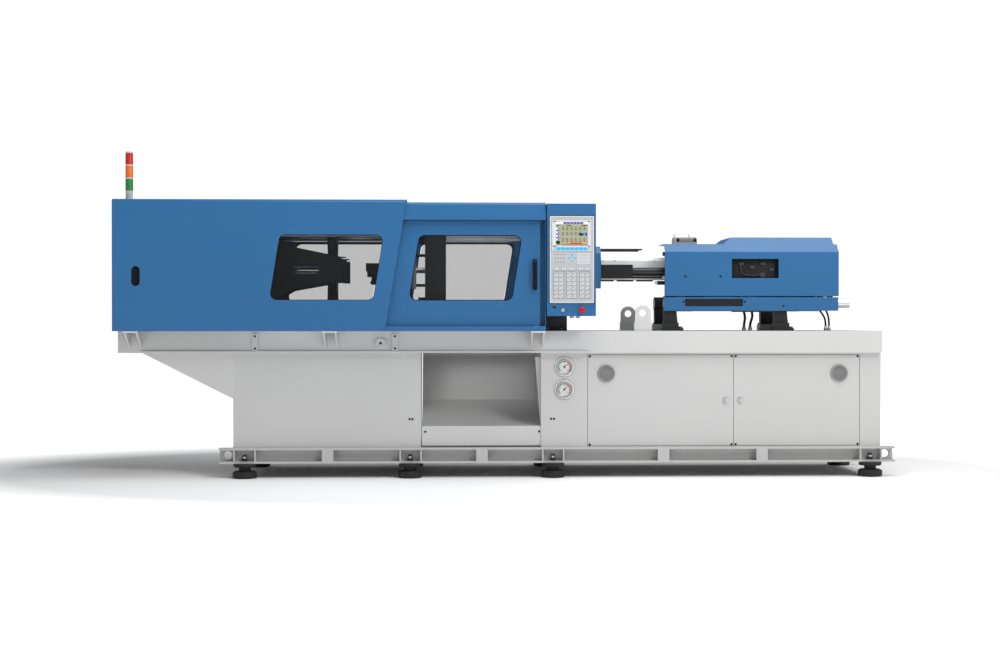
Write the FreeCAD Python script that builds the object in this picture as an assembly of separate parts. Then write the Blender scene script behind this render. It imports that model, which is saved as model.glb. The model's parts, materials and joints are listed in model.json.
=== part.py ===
import FreeCAD, Part
import math
import os

# Horizontal injection moulding machine of the 150 tonne class.
# Frame: millimetres, +Z up, +X from the clamping end to the injection end,
# the operator stands on the -Y side. The origin is on the floor, in the middle
# of the machine's length.

os.makedirs("parts", exist_ok=True)
V = FreeCAD.Vector

# ---------------------------------------------------------------- dimensions
clearance = 0.3

# Skid and feet
skid_left = -1878.0
skid_right = 2538.0
skid_bottom = 96.0
skid_height = 100.0
skid_top = skid_bottom + skid_height
skid_half_width = 462.0
skid_flange = 13.0
skid_web = 8.0
skid_depth = 62.0
skid_rib = 10.0
skid_rib_places = (-1780.0, -1645.0, -706.0, -571.0, 221.0, 358.0, 2311.0, 2449.0)
skid_plate_places = (-1176.0, -175.0, 1012.0, 1660.0)
skid_plate_width = 75.0
tow_hole_radius = 26.0
tow_hole_inset = 53.0
skid_cross_width = 70.0
foot_places = (-1714.0, -642.0, 290.0, 2382.0)
foot_inset = 35.0
foot_line = skid_half_width - foot_inset
foot_pad_radius = 79.0
foot_pad_height = 47.0
foot_waist_radius = 39.0
foot_plate_radius = 74.0
foot_plate_thickness = 24.0
stud_radius = 12.0
stud_nut_radius = 18.0
stud_nut_height = 18.0
stud_tip = 24.0
stud_hole_clearance = 1.0

# Bed
bed_left = -2524.0
bed_right = 2453.0
bed_top = 955.0
bed_height = 142.0
bed_bottom = bed_top - bed_height
bed_half_width = 460.0
bed_plate = 12.0
bed_flange_width = 150.0
bed_lip = 14.0
bed_lip_end = 520.0
bed_joint_places = (-1643.0, -740.0)
bed_joint_width = 36.0
port_boss_place = -832.0
port_boss_drop = 8.0
port_boss_radius = 32.0
port_boss_bore = 9.0
port_boss_length = 20.0
bed_rib_places = (-2300.0, -1640.0, -1120.0, 330.0, 1100.0, 1840.0)
drop_left = -380.0
drop_right = 160.0
drop_half_width = 200.0
bracket_places = (-2450.0, -1190.0, 144.0)
bracket_pitch = 75.0
bracket_rib = 10.0
bracket_height = 105.0
tail_toe = -2377.0
tail_depth = 299.0
sheet = 6.0
lug_left = 828.0
lug_width = 103.0
lug_thickness = 22.0
lug_height = 168.0
lug_hole_radius = 24.0
lug_line = 431.0
lug_shoe = 60.0

# Base cabinets under the bed
cabinet_setback = 40.0
cabinet_front = bed_half_width - cabinet_setback
tank_left = -1790.0
tank_right = -572.0
bay_right = 212.0
cabinet_right = bed_right
door_edge_left = 520.0
door_split = 1479.0
door_end_margin = 141.0
door_edge_right = cabinet_right - door_end_margin
door_gap = 3.0
door_top_margin = 15.0
door_bottom_margin = 8.0
door_fold = 22.0
door_sheet = 3.0
lock_drop = 313.0
lock_height = bed_bottom - lock_drop
lock_insets = (53.0, 45.0)
lock_radius = 17.0
vent_radius = 56.0
vent_drop = 136.0
vent_height = bed_bottom - vent_drop
vent_insets = (120.0, 135.0)
vent_slats = 7
gauge_place = 365.0
gauge_drops = (93.0, 240.0)
gauge_heights = tuple(bed_bottom - drop for drop in gauge_drops)
gauge_flange_radius = 66.0
gauge_case_radius = 50.0
gauge_bezel_radius = 53.0
gauge_lens_radius = 45.0
gauge_depth = 46.0
chute_lip_gap = 11.0
chute_lip_height = 127.0
chute_lip_bottom = skid_top + chute_lip_gap
chute_lip_top = chute_lip_bottom + chute_lip_height
chute_side = 20.0
chute_sheet = 4.0
chute_back = 360.0
chute_flange = 30.0
chute_top_drop = 30.0
chute_sag_line = -150.0
chute_sag_rise = 169.0
chute_bend_line = 150.0
chute_bend_rise = 284.0
chute_web_setback = 30.0
bay_floor_inset = 60.0
motor_left = 900.0
motor_line = 60.0
motor_rise = 190.0
motor_radius = 126.0
motor_length = 430.0
motor_foot_height = 100.0
motor_foot_length = 70.0
motor_foot_insets = (60.0, 300.0)
terminal_inset = 110.0
terminal_length = 120.0
bell_radius = 80.0
bell_length = 90.0
pump_radius = 62.0
pump_length = 140.0

# Clamp unit
axis_rise = 407.0
axis_height = bed_top + axis_rise
tie_offset = 240.0
tie_radius = 35.0
tie_overrun = 24.0
nut_radius = 56.0
nut_height = 56.0
platen_half = 340.0
platen_bottom = axis_height - platen_half
platen_top = axis_height + platen_half
platen_corner = 40.0
fixed_platen_face = 177.0
fixed_platen_thickness = 160.0
fixed_platen_back = fixed_platen_face + fixed_platen_thickness
fixed_rib_depth = 52.0
mould_daylight = 585.0
moving_platen_face = fixed_platen_face - mould_daylight
moving_platen_thickness = 138.0
moving_platen_back = moving_platen_face - moving_platen_thickness
end_platen_face = -1560.0
end_platen_thickness = 140.0
end_platen_back = end_platen_face - end_platen_thickness
shoe_inner = 220.0
shoe_margin = 10.0
shoe_outer = platen_half - shoe_margin
locating_bore_radius = 50.0
locating_bore_depth = 20.0
mould_bolt_radius = 8.0
mould_bolt_depth = 40.0
mould_bolt_pitch = 140.0
nose_length = 456.0
nose_end = end_platen_face + nose_length
nose_root_half = 160.0
nose_tip_half = 80.0
nose_centre_lift = 4.0
cheek_inner = 195.0
cheek_thickness = 30.0
fork_length = 40.0
nose_slot_offset = 227.0
nose_slot_centre = end_platen_face + nose_slot_offset
nose_slot_length = 176.0
nose_slot_width = 62.0
yoke_setback = 664.0
yoke_left = moving_platen_back - yoke_setback
yoke_width = 81.0
yoke_waist = 62.0
yoke_half_depth = 55.0
yoke_half_height = 345.0
column_offset = 292.0
column_radius = 38.0
clamp_rod_radius = 55.0
clamp_cylinder_radius = 125.0
clamp_cylinder_wall = 25.0
clamp_stroke = 435.0
clamp_piston_length = 50.0
ejector_rod_spacing = 101.0
ejector_rod_radius = 10.0
ejector_plate_setback = 88.0
ejector_plate_left = moving_platen_back - ejector_plate_setback
ejector_plate_thickness = 26.0
ejector_plate_half_height = 125.0
ejector_plate_half_width = 60.0
ejector_flange_setback = 214.0
ejector_flange_left = moving_platen_back - ejector_flange_setback
ejector_flange_thickness = 22.0
ejector_body_radius = 46.0
ejector_tail_setback = 401.0
ejector_tail_left = moving_platen_back - ejector_tail_setback
ejector_tail_length = 88.0
ejector_ram_radius = 18.0
ejector_stroke = 100.0

# Guards
guard_front = 650.0
guard_lap = 1.0
guard_left = bed_left - guard_lap
guard_height = 840.0
guard_top = bed_top + guard_height
guard_edge_top = -660.0
guard_edge_bottom = -800.0
guard_sheet = 4.0
guard_bend = 25.0
guard_roof_reach = 230.0
window_rise = 198.0
window_height = 417.0
window_bottom = bed_top + window_rise
window_top = window_bottom + window_height
window_corner = 42.0
window_slant = 67.0
tail_window_left = -1534.0
tail_window_right = -872.0
door_window_left = -648.0
door_window_right = 13.0
pane_thickness = 5.0
pane_margin = 16.0
pull_inset = 149.0
pull_centre = guard_left + pull_inset
pull_rise = 350.0
pull_height = bed_top + pull_rise
pull_length = 122.0
pull_width = 48.0
pull_depth = 18.0
header_setback = 10.0
header_front = guard_front - header_setback
header_drop = 16.0
header_height = 113.0
header_top = guard_top - header_drop
header_bottom = header_top - header_height
header_depth = 130.0
header_right = 230.0
header_left = -1760.0
post_width = 32.0
sill_height = 32.0
sill_bottom = bed_top
sill_top = sill_bottom + sill_height
end_post_front = 560.0
safety_door_setback = 50.0
safety_door_front = guard_front - safety_door_setback
safety_door_thickness = 36.0
safety_door_right = 196.0
safety_door_left = -862.0
safety_door_floor_gap = 1.0
safety_door_clearance = 4.0
handle_left = 146.0
handle_width = 28.0
handle_rise = 265.0
handle_bottom = bed_top + handle_rise
handle_height = 196.0
handle_reach = 40.0
handle_bar = 14.0

# Control cabinet and operator panel
control_left = 236.0
control_right = 550.0
control_rise = 97.0
control_height = 719.0
control_bottom = bed_top + control_rise
control_top = control_bottom + control_height
control_depth = 210.0
control_sheet = 4.0
panel_side_margins = (17.0, 13.0)
panel_left = control_left + panel_side_margins[0]
panel_right = control_right - panel_side_margins[1]
panel_rise = 83.0
panel_height = 556.0
panel_bottom = control_bottom + panel_rise
panel_top = panel_bottom + panel_height
panel_rim = 9.0
panel_proud = 6.0
bezel_side_margins = (14.0, 20.0)
bezel_left = panel_left + bezel_side_margins[0]
bezel_right = panel_right - bezel_side_margins[1]
bezel_rise = 333.0
bezel_height = 197.0
bezel_bottom = panel_bottom + bezel_rise
bezel_top = bezel_bottom + bezel_height
bezel_proud = 3.0
bezel_corner = 14.0
screen_side_margins = (26.0, 20.0)
screen_left = bezel_left + screen_side_margins[0]
screen_right = bezel_right - screen_side_margins[1]
screen_rise = 34.0
screen_height = 151.0
screen_bottom = bezel_bottom + screen_rise
screen_top = screen_bottom + screen_height
screen_recess = 1.0
function_key_count = 7
function_key_pitch = 29.0
function_key_width = 21.0
function_key_height = 15.0
function_key_rise = 13.0
function_key_row = bezel_bottom + function_key_rise
key_proud = 1.6
pad_insets = (35.0, 190.0)
pad_pitch = 18.5
pad_rise = 309.0
pad_row_pitch = 25.0
pad_key_half = 6.0
cursor_inset = 137.0
cursor_rise = 285.0
cursor_pitch = 18.0
cursor_radius = 6.0
mode_key_insets = (46.0, 92.0, 140.0, 202.0, 242.0)
mode_key_rise = 211.0
mode_key_width = 24.0
mode_key_height = 16.0
axis_key_inset = 40.0
axis_key_rise = 177.0
axis_group_pitch = 83.5
axis_column_pitch = 35.0
axis_row_pitch = 27.5
axis_key_width = 26.0
axis_key_height = 20.0
estop_inset = 223.0
estop_place = control_left + estop_inset
button_rise = 38.0
button_row = control_bottom + button_rise
estop_radius = 20.0
estop_shank_radius = 11.0
key_switch_inset = 101.0
key_switch_place = control_left + key_switch_inset
key_switch_radius = 10.0
port_inset = 35.0
port_left = control_left + port_inset
port_width = 23.0
port_height = 14.0
port_rise = 56.0
port_row = control_bottom + port_rise

# Signal tower
tower_inset = 80.0
tower_place = guard_left + tower_inset
tower_line = -480.0
tower_radius = 25.0
tower_base_height = 64.0
tower_lamp_height = 74.0
tower_ring = 9.0
tower_core_radius = 8.0
tower_lamp_count = 3

# Injection unit
hood_left = 1042.0
hood_right = 2204.0
hood_half_width = 300.0
hood_drop = 176.0
hood_shoulder_rise = 117.0
hood_low_rise = 171.0
hood_high_rise = 218.0
hood_bottom = axis_height - hood_drop
hood_shoulder = axis_height + hood_shoulder_rise
hood_low_top = axis_height + hood_low_rise
hood_high_top = axis_height + hood_high_rise
hood_ramp_inset = 398.0
hood_ramp_length = 59.0
hood_ramp_start = hood_left + hood_ramp_inset
hood_ramp_end = hood_ramp_start + hood_ramp_length
hood_end_ledge = 24.0
hood_sheet = 4.0
rear_setback = 80.0
hood_window_inset = 446.0
hood_window_width = 313.0
hood_window_drop = 57.0
hood_window_height = 128.0
hood_window_left = hood_left + hood_window_inset
hood_window_right = hood_window_left + hood_window_width
hood_window_bottom = axis_height - hood_window_drop
hood_window_top = hood_window_bottom + hood_window_height
skirt_gap = 8.0
skirt_height = 90.0
skirt_end_laps = (6.0, 3.0)
skirt_left = hood_left - skirt_end_laps[0]
skirt_right = hood_right - skirt_end_laps[1]
skirt_top = hood_bottom - skirt_gap
skirt_bottom = skirt_top - skirt_height
skirt_slot_inset = 140.0
skirt_slot_length = 386.0
skirt_slot_rise = 30.0
skirt_slot_height = 49.0
skirt_slot_left = skirt_left + skirt_slot_inset
skirt_slot_right = skirt_slot_left + skirt_slot_length
skirt_slot_bottom = skirt_bottom + skirt_slot_rise
skirt_slot_top = skirt_slot_bottom + skirt_slot_height
deck_rise = 10.0
deck_thickness = 26.0
deck_left = hood_left + rear_setback
base_deck_bottom = hood_bottom + deck_rise
base_deck_top = base_deck_bottom + deck_thickness
base_half_width = 262.0
bar_line = 235.0
bar_drop = 224.0
bar_height = axis_height - bar_drop
bar_radius = 30.0
stand_overhang = 6.0
stand_left = hood_left - stand_overhang
stand_pitch = 739.0
stand_places = (stand_left, stand_left + stand_pitch)
stand_length = 130.0
bearing_gaps = (19.0, 25.0)
bearing_places = tuple(x + stand_length + gap for x, gap in zip(stand_places, bearing_gaps))
bearing_length = 120.0
stand_base = 18.0
stand_block = 36.0
stand_eye_radius = 47.0
stand_half_width = 62.0
bar_inset = 6.0
bar_left = stand_left + bar_inset
bar_right = 2288.0
running_gap = 0.05
bearing_radius = 52.0
head_block_length = 100.0
head_block_rise = 108.0
head_block_top = axis_height + head_block_rise
head_right = deck_left + head_block_length
barrel_radius = 65.0
barrel_bore = 22.5
barrel_left = 470.0
barrel_overrun = 258.0
barrel_right = hood_left + barrel_overrun
nozzle_tip = 205.0
nozzle_radius = 24.0
heater_count = 4
heater_radius = 74.0
heater_gap = 24.5
screw_radius = 22.4
screw_tip = 300.0
screw_seat = 16.0
seat_line = 200.0
seat_drop = 13.0
seat_height = axis_height - seat_drop
seat_body = 92.0
seat_body_right = 835.0
seat_rod_radius = 28.0
seat_rod_left = 400.0
barrel_cover_left = 640.0
barrel_cover_half = 86.0
barrel_cover_drop = 62.0
barrel_cover_bottom = axis_height - barrel_cover_drop
barrel_cover_right = deck_left
barrel_cover_sheet = 2.5
shot_cylinder_line = 172.0
shot_cylinder_radius = 56.0
shot_cylinder_overrun = 378.0
shot_cylinder_right = hood_left + shot_cylinder_overrun
shot_rod_radius = 25.0
shot_rod_inset = 168.0
shot_rod_left = hood_left + shot_rod_inset
crosshead_inset = 438.0
crosshead_left = hood_left + crosshead_inset
crosshead_length = 80.0
crosshead_half_width = 240.0
screw_right = crosshead_left + screw_seat
drive_radius = 100.0
drive_length = 200.0
drive_flange_length = 60.0
crosshead_rise = 95.0
crosshead_corner = 20.0
oil_block_inset = 90.0
oil_block_length = 50.0
oil_block_half_width = 40.0
throat_inset = 98.0
throat_length = 152.0
throat_left = hood_left + throat_inset
throat_right = throat_left + throat_length
throat_half_width = 71.0
throat_rise = 45.0
throat_top = hood_low_top + throat_rise
throat_depth = 80.0
feed_radius = 30.0
hopper_bolt_radius = 5.0
hopper_bolt_spacing = 100.0
gate_thickness = 6.0
gate_half_width = 38.0
gate_overhang = 4.0
gate_left = throat_left - gate_overhang
gate_length = 122.0
bail_wire = 3.0
bail_height = 30.0
purge_left = 342.0
purge_right = 619.0
purge_half_width = 272.0
purge_drop = 126.0
purge_shoulder_rise = 106.0
purge_top_rise = 154.0
purge_bottom = axis_height - purge_drop
purge_shoulder = axis_height + purge_shoulder_rise
purge_top = axis_height + purge_top_rise
purge_sheet = 3.0
purge_lug_length = 20.0
purge_lug_half = 12.0
purge_rail_line = 100.0
purge_rail_drop = 15.0
purge_rail_height = purge_top - purge_rail_drop
purge_rail_radius = 6.0
purge_rail_right = 914.0

# Hoses and cables
hose_radius = 8.5
cable_radius = 6.5
gland_height = 16.0


# ------------------------------------------------------------------- helpers
def save(node, shape):
    if shape.ShapeType == "Compound" and len(shape.Solids) == 1:
        shape = shape.Solids[0]
    solids = shape.Solids
    assert solids, node
    assert all(s.isValid() and s.Volume > 1 for s in solids), node
    shape.exportStep("parts/" + node + ".step")


def box(x0, x1, y0, y1, z0, z1):
    return Part.makeBox(x1 - x0, y1 - y0, z1 - z0, V(x0, y0, z0))


def rod_x(radius, x0, x1, y, z):
    return Part.makeCylinder(radius, x1 - x0, V(x0, y, z), V(1, 0, 0))


def rod_y(radius, y0, y1, x, z):
    return Part.makeCylinder(radius, y1 - y0, V(x, y0, z), V(0, 1, 0))


def rod_z(radius, z0, z1, x, y):
    return Part.makeCylinder(radius, z1 - z0, V(x, y, z0), V(0, 0, 1))


def face_of(points):
    return Part.Face(Part.makePolygon(points + [points[0]]))


def prism_y(points, y0, y1):
    """Outline in X and Z, drawn out along Y."""
    return face_of([V(x, y0, z) for x, z in points]).extrude(V(0, y1 - y0, 0))


def prism_x(points, x0, x1):
    """Outline in Y and Z, drawn out along X."""
    return face_of([V(x0, y, z) for y, z in points]).extrude(V(x1 - x0, 0, 0))


def rounded_wire(points, radius):
    """Closed outline through points with each corner rounded by radius."""
    edges = []
    starts = []
    ends = []
    count = len(points)
    for i in range(count):
        here = points[i]
        back = (points[i - 1] - here).normalize()
        ahead = (points[(i + 1) % count] - here).normalize()
        half = back.getAngle(ahead) / 2
        reach = radius / math.tan(half)
        middle = (back + ahead).normalize() * (radius / math.sin(half) - radius)
        starts.append(here + back * reach)
        ends.append(here + ahead * reach)
        edges.append(Part.Arc(starts[i], here + middle, ends[i]).toShape())
    lines = []
    for i in range(count):
        lines.append(Part.LineSegment(ends[i], starts[(i + 1) % count]).toShape())
    joined = [e for pair in zip(edges, lines) for e in pair]
    return Part.Wire(joined)


def rounded_y(points, radius, y0, y1):
    corners = [V(x, y0, z) for x, z in points]
    return Part.Face(rounded_wire(corners, radius)).extrude(V(0, y1 - y0, 0))


def rounded_x(points, radius, x0, x1):
    corners = [V(x0, y, z) for y, z in points]
    return Part.Face(rounded_wire(corners, radius)).extrude(V(x1 - x0, 0, 0))


def turned(points, axis_point, axis):
    """Half profile of (radius, distance along the axis), turned once round."""
    side = V(0, 0, 1) if abs(axis.z) < 0.5 else V(1, 0, 0)
    outline = [axis_point + side * r + axis * t for r, t in points]
    return face_of(outline).revolve(axis_point, axis, 360)


def joined(shapes):
    first = shapes[0]
    return first.fuse(shapes[1:]).removeSplitter() if len(shapes) > 1 else first


def mirrored(shape):
    return shape.mirror(V(0, 0, 0), V(0, 1, 0))


def window_points(left, right, bottom, top, grow=0.0):
    """The slanted window outline, its top shifted to the right of its foot."""
    return [
        (left - grow, bottom - grow),
        (right - grow, bottom - grow),
        (right + window_slant + grow, top + grow),
        (left + window_slant + grow, top + grow),
    ]


def four_corners(offset):
    return [(sy * offset, axis_height + sz * offset) for sy in (-1, 1) for sz in (-1, 1)]


# ------------------------------------------------------------ skid and feet
def skid_channel(side):
    outer = side * skid_half_width
    web = side * (skid_half_width - skid_depth)
    profile = [
        (outer, skid_bottom),
        (outer, skid_bottom + skid_flange),
        (web, skid_bottom + skid_flange),
        (web, skid_top - skid_flange),
        (outer, skid_top - skid_flange),
        (outer, skid_top),
        (web - side * skid_web, skid_top),
        (web - side * skid_web, skid_bottom),
    ]
    return prism_x(profile, skid_left, skid_right)


def make_skid():
    inner = skid_half_width - skid_depth - skid_web
    shapes = []
    for side in (-1, 1):
        y0, y1 = sorted((side * (inner + skid_web / 2), side * (skid_half_width - 2)))
        shapes.append(skid_channel(side))
        for x in skid_rib_places:
            shapes.append(box(x - skid_rib / 2, x + skid_rib / 2, y0, y1, skid_bottom + 5, skid_top - 5))
        y0, y1 = sorted((side * (skid_half_width - skid_rib), side * skid_half_width))
        for x in skid_plate_places:
            half = skid_plate_width / 2
            shapes.append(box(x - half, x + half, y0, y1, skid_bottom + 5, skid_top - 5))
    for x in foot_places:
        x0 = x - skid_cross_width / 2
        shapes.append(box(x0, x0 + skid_cross_width, -inner, inner, skid_bottom, skid_top))
    skid = joined(shapes)
    holes = []
    middle = skid_bottom + skid_height / 2
    for x in (skid_left + tow_hole_inset, skid_right - tow_hole_inset):
        holes.append(rod_y(tow_hole_radius, -skid_half_width - 1, skid_half_width + 1, x, middle))
    for x in foot_places:
        for side in (-1, 1):
            radius = stud_radius + stud_hole_clearance
            holes.append(rod_z(radius, skid_bottom - 1, skid_bottom + skid_flange + 1, x, side * foot_line))
    save("skid_frame", skid.cut(holes))


def levelling_foot(x, y):
    plate_bottom = skid_bottom - foot_plate_thickness
    seat = skid_bottom + skid_flange
    profile = [
        (0, 0),
        (foot_pad_radius - 8, 0),
        (foot_pad_radius, 8),
        (foot_pad_radius, foot_pad_height - 10),
        (foot_pad_radius - 14, foot_pad_height),
        (foot_waist_radius, foot_pad_height + 3),
        (foot_waist_radius, plate_bottom),
        (foot_plate_radius - 6, plate_bottom),
        (foot_plate_radius, plate_bottom + 6),
        (foot_plate_radius, skid_bottom),
        (stud_radius, skid_bottom),
        (stud_radius, seat),
        (stud_nut_radius, seat),
        (stud_nut_radius, seat + stud_nut_height),
        (stud_radius, seat + stud_nut_height),
        (stud_radius, seat + stud_nut_height + stud_tip),
        (0, seat + stud_nut_height + stud_tip),
    ]
    return turned(profile, V(x, y, 0), V(0, 0, 1))


def make_feet():
    feet = [levelling_foot(x, side * foot_line) for x in foot_places for side in (-1, 1)]
    save("levelling_feet", Part.makeCompound(feet))


# ----------------------------------------------------------------------- bed
def bed_side(side):
    outer = side * bed_half_width
    inner = side * (bed_half_width - bed_plate)
    reach = side * (bed_half_width - bed_flange_width)
    profile = [
        (outer, bed_bottom),
        (outer, bed_top),
        (reach, bed_top),
        (reach, bed_top - bed_plate),
        (inner, bed_top - bed_plate),
        (inner, bed_bottom + bed_plate),
        (reach, bed_bottom + bed_plate),
        (reach, bed_bottom),
    ]
    beam = prism_x(profile, bed_left, bed_right)
    y0, y1 = sorted((outer, side * (bed_half_width + bed_lip)))
    lip = box(tail_toe, bed_lip_end, y0, y1, bed_bottom, bed_bottom + bed_plate)
    return [beam, lip]


def guard_bracket(x, side):
    """Two ribs and a pad that carry the overhanging guard."""
    wall = side * bed_half_width
    reach = side * (guard_front - 2)
    y0, y1 = sorted((wall, reach))
    left = x - bracket_rib / 2
    pad_top = bed_top
    pad = box(left - 6, left + bracket_pitch + bracket_rib + 6, y0, y1, pad_top - 10, pad_top)
    shapes = [pad]
    for k in (0, 1):
        start = left + k * bracket_pitch
        rib = [(wall, pad_top - 10), (reach - side * 25, pad_top - 10), (wall, pad_top - bracket_height)]
        shapes.append(prism_x(rib, start, start + bracket_rib))
    return shapes


def tail_box():
    toe = tail_toe
    heel_bottom = bed_bottom - tail_depth
    outer = [(toe, bed_bottom), (tank_left, heel_bottom), (tank_left, bed_bottom)]
    slope = tail_depth / (tank_left - toe)
    inset = 30.0
    drop = slope * (tank_left - sheet - toe - inset)
    inner = [
        (toe + inset, bed_bottom + 1),
        (tank_left - sheet, bed_bottom + 1),
        (tank_left - sheet, bed_bottom - drop),
        (toe + inset, bed_bottom - 1),
    ]
    shell = prism_y(outer, -cabinet_front, cabinet_front)
    return shell.cut(prism_y(inner, -cabinet_front + sheet, cabinet_front - sheet))


def lifting_lug(side):
    middle = lug_left + lug_width / 2
    radius = lug_width / 2
    y0, y1 = sorted((side * lug_line, side * (lug_line - lug_thickness)))
    top = bed_top + lug_height - radius
    plate = box(lug_left, lug_left + lug_width, y0, y1, bed_top, top)
    crown = rod_y(radius, y0, y1, middle, top)
    z0, z1 = sorted((side * (lug_line + 4), side * (lug_line - lug_thickness - 22)))
    shoe = box(lug_left - 5, lug_left + lug_width + 5, z0, z1, bed_top, bed_top + lug_shoe)
    hole = rod_y(lug_hole_radius, y0 - 1, y1 + 1, middle, top)
    return joined([plate, crown, shoe]).cut(hole)


def make_bed():
    shapes = []
    ports = []
    for side in (-1, 1):
        shapes += bed_side(side)
        for x in bracket_places:
            shapes += guard_bracket(x, side)
        y0, y1 = sorted((side * bed_half_width, side * (bed_half_width + 12)))
        for x in bed_joint_places:
            half = bed_joint_width / 2
            shapes.append(
                box(x - half, x + half, y0, y1, bed_bottom + bed_plate + 2, bed_top - bed_plate - 4)
            )
        y0, y1 = sorted((side * (bed_half_width - 1), side * (bed_half_width + port_boss_length)))
        port_z = bed_bottom + bed_height / 2 - port_boss_drop
        shapes.append(rod_y(port_boss_radius, y0, y1, port_boss_place, port_z))
        y0, y1 = sorted((side * (bed_half_width + 4), side * (bed_half_width + port_boss_length + 1)))
        ports.append(rod_y(port_boss_bore, y0, y1, port_boss_place, port_z))
        shapes.append(lifting_lug(side))
    inner = bed_half_width - bed_plate / 2
    for x in bed_rib_places:
        shapes.append(box(x, x + bed_plate, -inner, inner, bed_bottom, bed_top))
    for x in (bed_left, bed_right - bed_plate):
        shapes.append(box(x, x + bed_plate, -inner, inner, bed_bottom, bed_top))
    shapes.append(box(bed_left, bed_right, -inner, inner, bed_top - bed_plate, bed_top))
    bed = joined(shapes)
    drop = box(drop_left, drop_right, -drop_half_width, drop_half_width, bed_bottom - 1, bed_top + 1)
    save("bed_frame", joined([bed.cut([drop] + ports), tail_box()]))


# ------------------------------------------------------------- base cabinets
def open_box(x0, x1, y0, y1, z0, z1, wall):
    """A box with walls all round, open at the top."""
    return box(x0, x1, y0, y1, z0, z1).cut(box(x0 + wall, x1 - wall, y0 + wall, y1 - wall, z0 + wall, z1 + 1))


def make_cabinet():
    front = -cabinet_front
    tank = open_box(tank_left, tank_right, front, -front, skid_top, bed_bottom, sheet)
    tank_lid = box(
        tank_left + 1, tank_right - 1, front + 1, -front - 1, bed_bottom - 60, bed_bottom - 60 + sheet
    )
    house = open_box(bay_right, cabinet_right, front, -front, skid_top, bed_bottom, sheet)
    doorway = box(
        door_edge_left - door_gap,
        door_edge_right + door_gap,
        front - 1,
        front + sheet + 1,
        skid_top + door_bottom_margin - door_gap,
        bed_bottom - door_top_margin + door_gap,
    )
    holes = [doorway]
    for z in gauge_heights:
        holes.append(rod_y(gauge_case_radius + 1, front - 1, front + sheet + 1, gauge_place, z))
    # Return behind the doorway on which the doors close.
    x0 = door_edge_left - door_gap - 20
    x1 = door_edge_right + door_gap + 20
    z0 = skid_top + door_bottom_margin - door_gap - 2
    z1 = bed_bottom
    y0 = front + door_fold + clearance
    frame = box(x0, x1, y0, y0 + sheet, z0, z1)
    frame = frame.cut(box(x0 + 45, x1 - 45, y0 - 1, y0 + sheet + 1, z0 + 30, z1 - 40))
    ties = [
        box(x0, x0 + sheet, front + 1, y0 + 1, z0, z1),
        box(x1 - sheet, x1, front + 1, y0 + 1, z0, z1),
    ]
    floor_front = front + bay_floor_inset
    floor = box(tank_right - 1, bay_right + 1, floor_front, -floor_front, skid_top, skid_top + sheet)
    # Round inspection cover on the back of the oil tank.
    cover = rod_y(90, -front - 1, -front + 8, tank_left + 260, bed_bottom - 200)
    save("base_cabinet", joined([tank, tank_lid, house.cut(holes), frame, floor, cover] + ties))


def cabinet_door(left, right, vent_x):
    front = -cabinet_front
    bottom = skid_top + door_bottom_margin
    top = bed_bottom - door_top_margin
    panel = box(left, right, front, front + door_fold, bottom, top)
    hollow = box(
        left + door_sheet,
        right - door_sheet,
        front + door_sheet,
        front + door_fold + 1,
        bottom + door_sheet,
        top - door_sheet,
    )
    door = panel.cut(hollow)
    ring = rod_y(vent_radius, front - 6, front + door_sheet, vent_x, vent_height)
    door = door.cut(rod_y(vent_radius - 8, front - 7, front + door_sheet + 1, vent_x, vent_height))
    grille = [ring.cut(rod_y(vent_radius - 8, front - 7, front + door_sheet + 1, vent_x, vent_height))]
    pitch = 2 * (vent_radius - 8) / (vent_slats + 1)
    for k in range(vent_slats):
        z = vent_height - vent_radius + 8 + (k + 1) * pitch
        half = math.sqrt(vent_radius**2 - (z - vent_height) ** 2) - 2
        slat = [(front - 3, z - 3), (front - 1, z - 3), (front + 3, z + 3), (front + 1, z + 3)]
        grille.append(prism_x(slat, vent_x - half, vent_x + half))
    return joined([door] + grille)


def door_lock(x):
    """Quarter-turn lock: round head with a grip, barrel through the door, cam behind."""
    front = -cabinet_front
    head = rod_y(lock_radius, front - 9, front, x, lock_height)
    grip = box(
        x - 3, x + 3, front - 17, front - 8, lock_height - lock_radius + 2, lock_height + lock_radius - 2
    )
    barrel = rod_y(8, front - 1, front + door_fold - 2, x, lock_height)
    cam = box(x - 7, x + 7, front + door_fold - 6, front + door_fold - 2, lock_height - 8, lock_height + 26)
    return joined([head, grip, barrel, cam])


def make_cabinet_doors():
    places = {
        "left": (
            door_edge_left,
            door_split - door_gap / 2,
            door_edge_left + vent_insets[0],
            door_split - lock_insets[0],
        ),
        "right": (
            door_split + door_gap / 2,
            door_edge_right,
            door_edge_right - vent_insets[1],
            door_split + lock_insets[1],
        ),
    }
    for name, (left, right, vent_x, lock_x) in places.items():
        door = cabinet_door(left, right, vent_x)
        hole = rod_y(8 + running_gap, -cabinet_front - 1, -cabinet_front + door_fold + 1, lock_x, lock_height)
        save("cabinet_door_" + name, door.cut(hole))
        save("door_lock_" + name, door_lock(lock_x))


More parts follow.
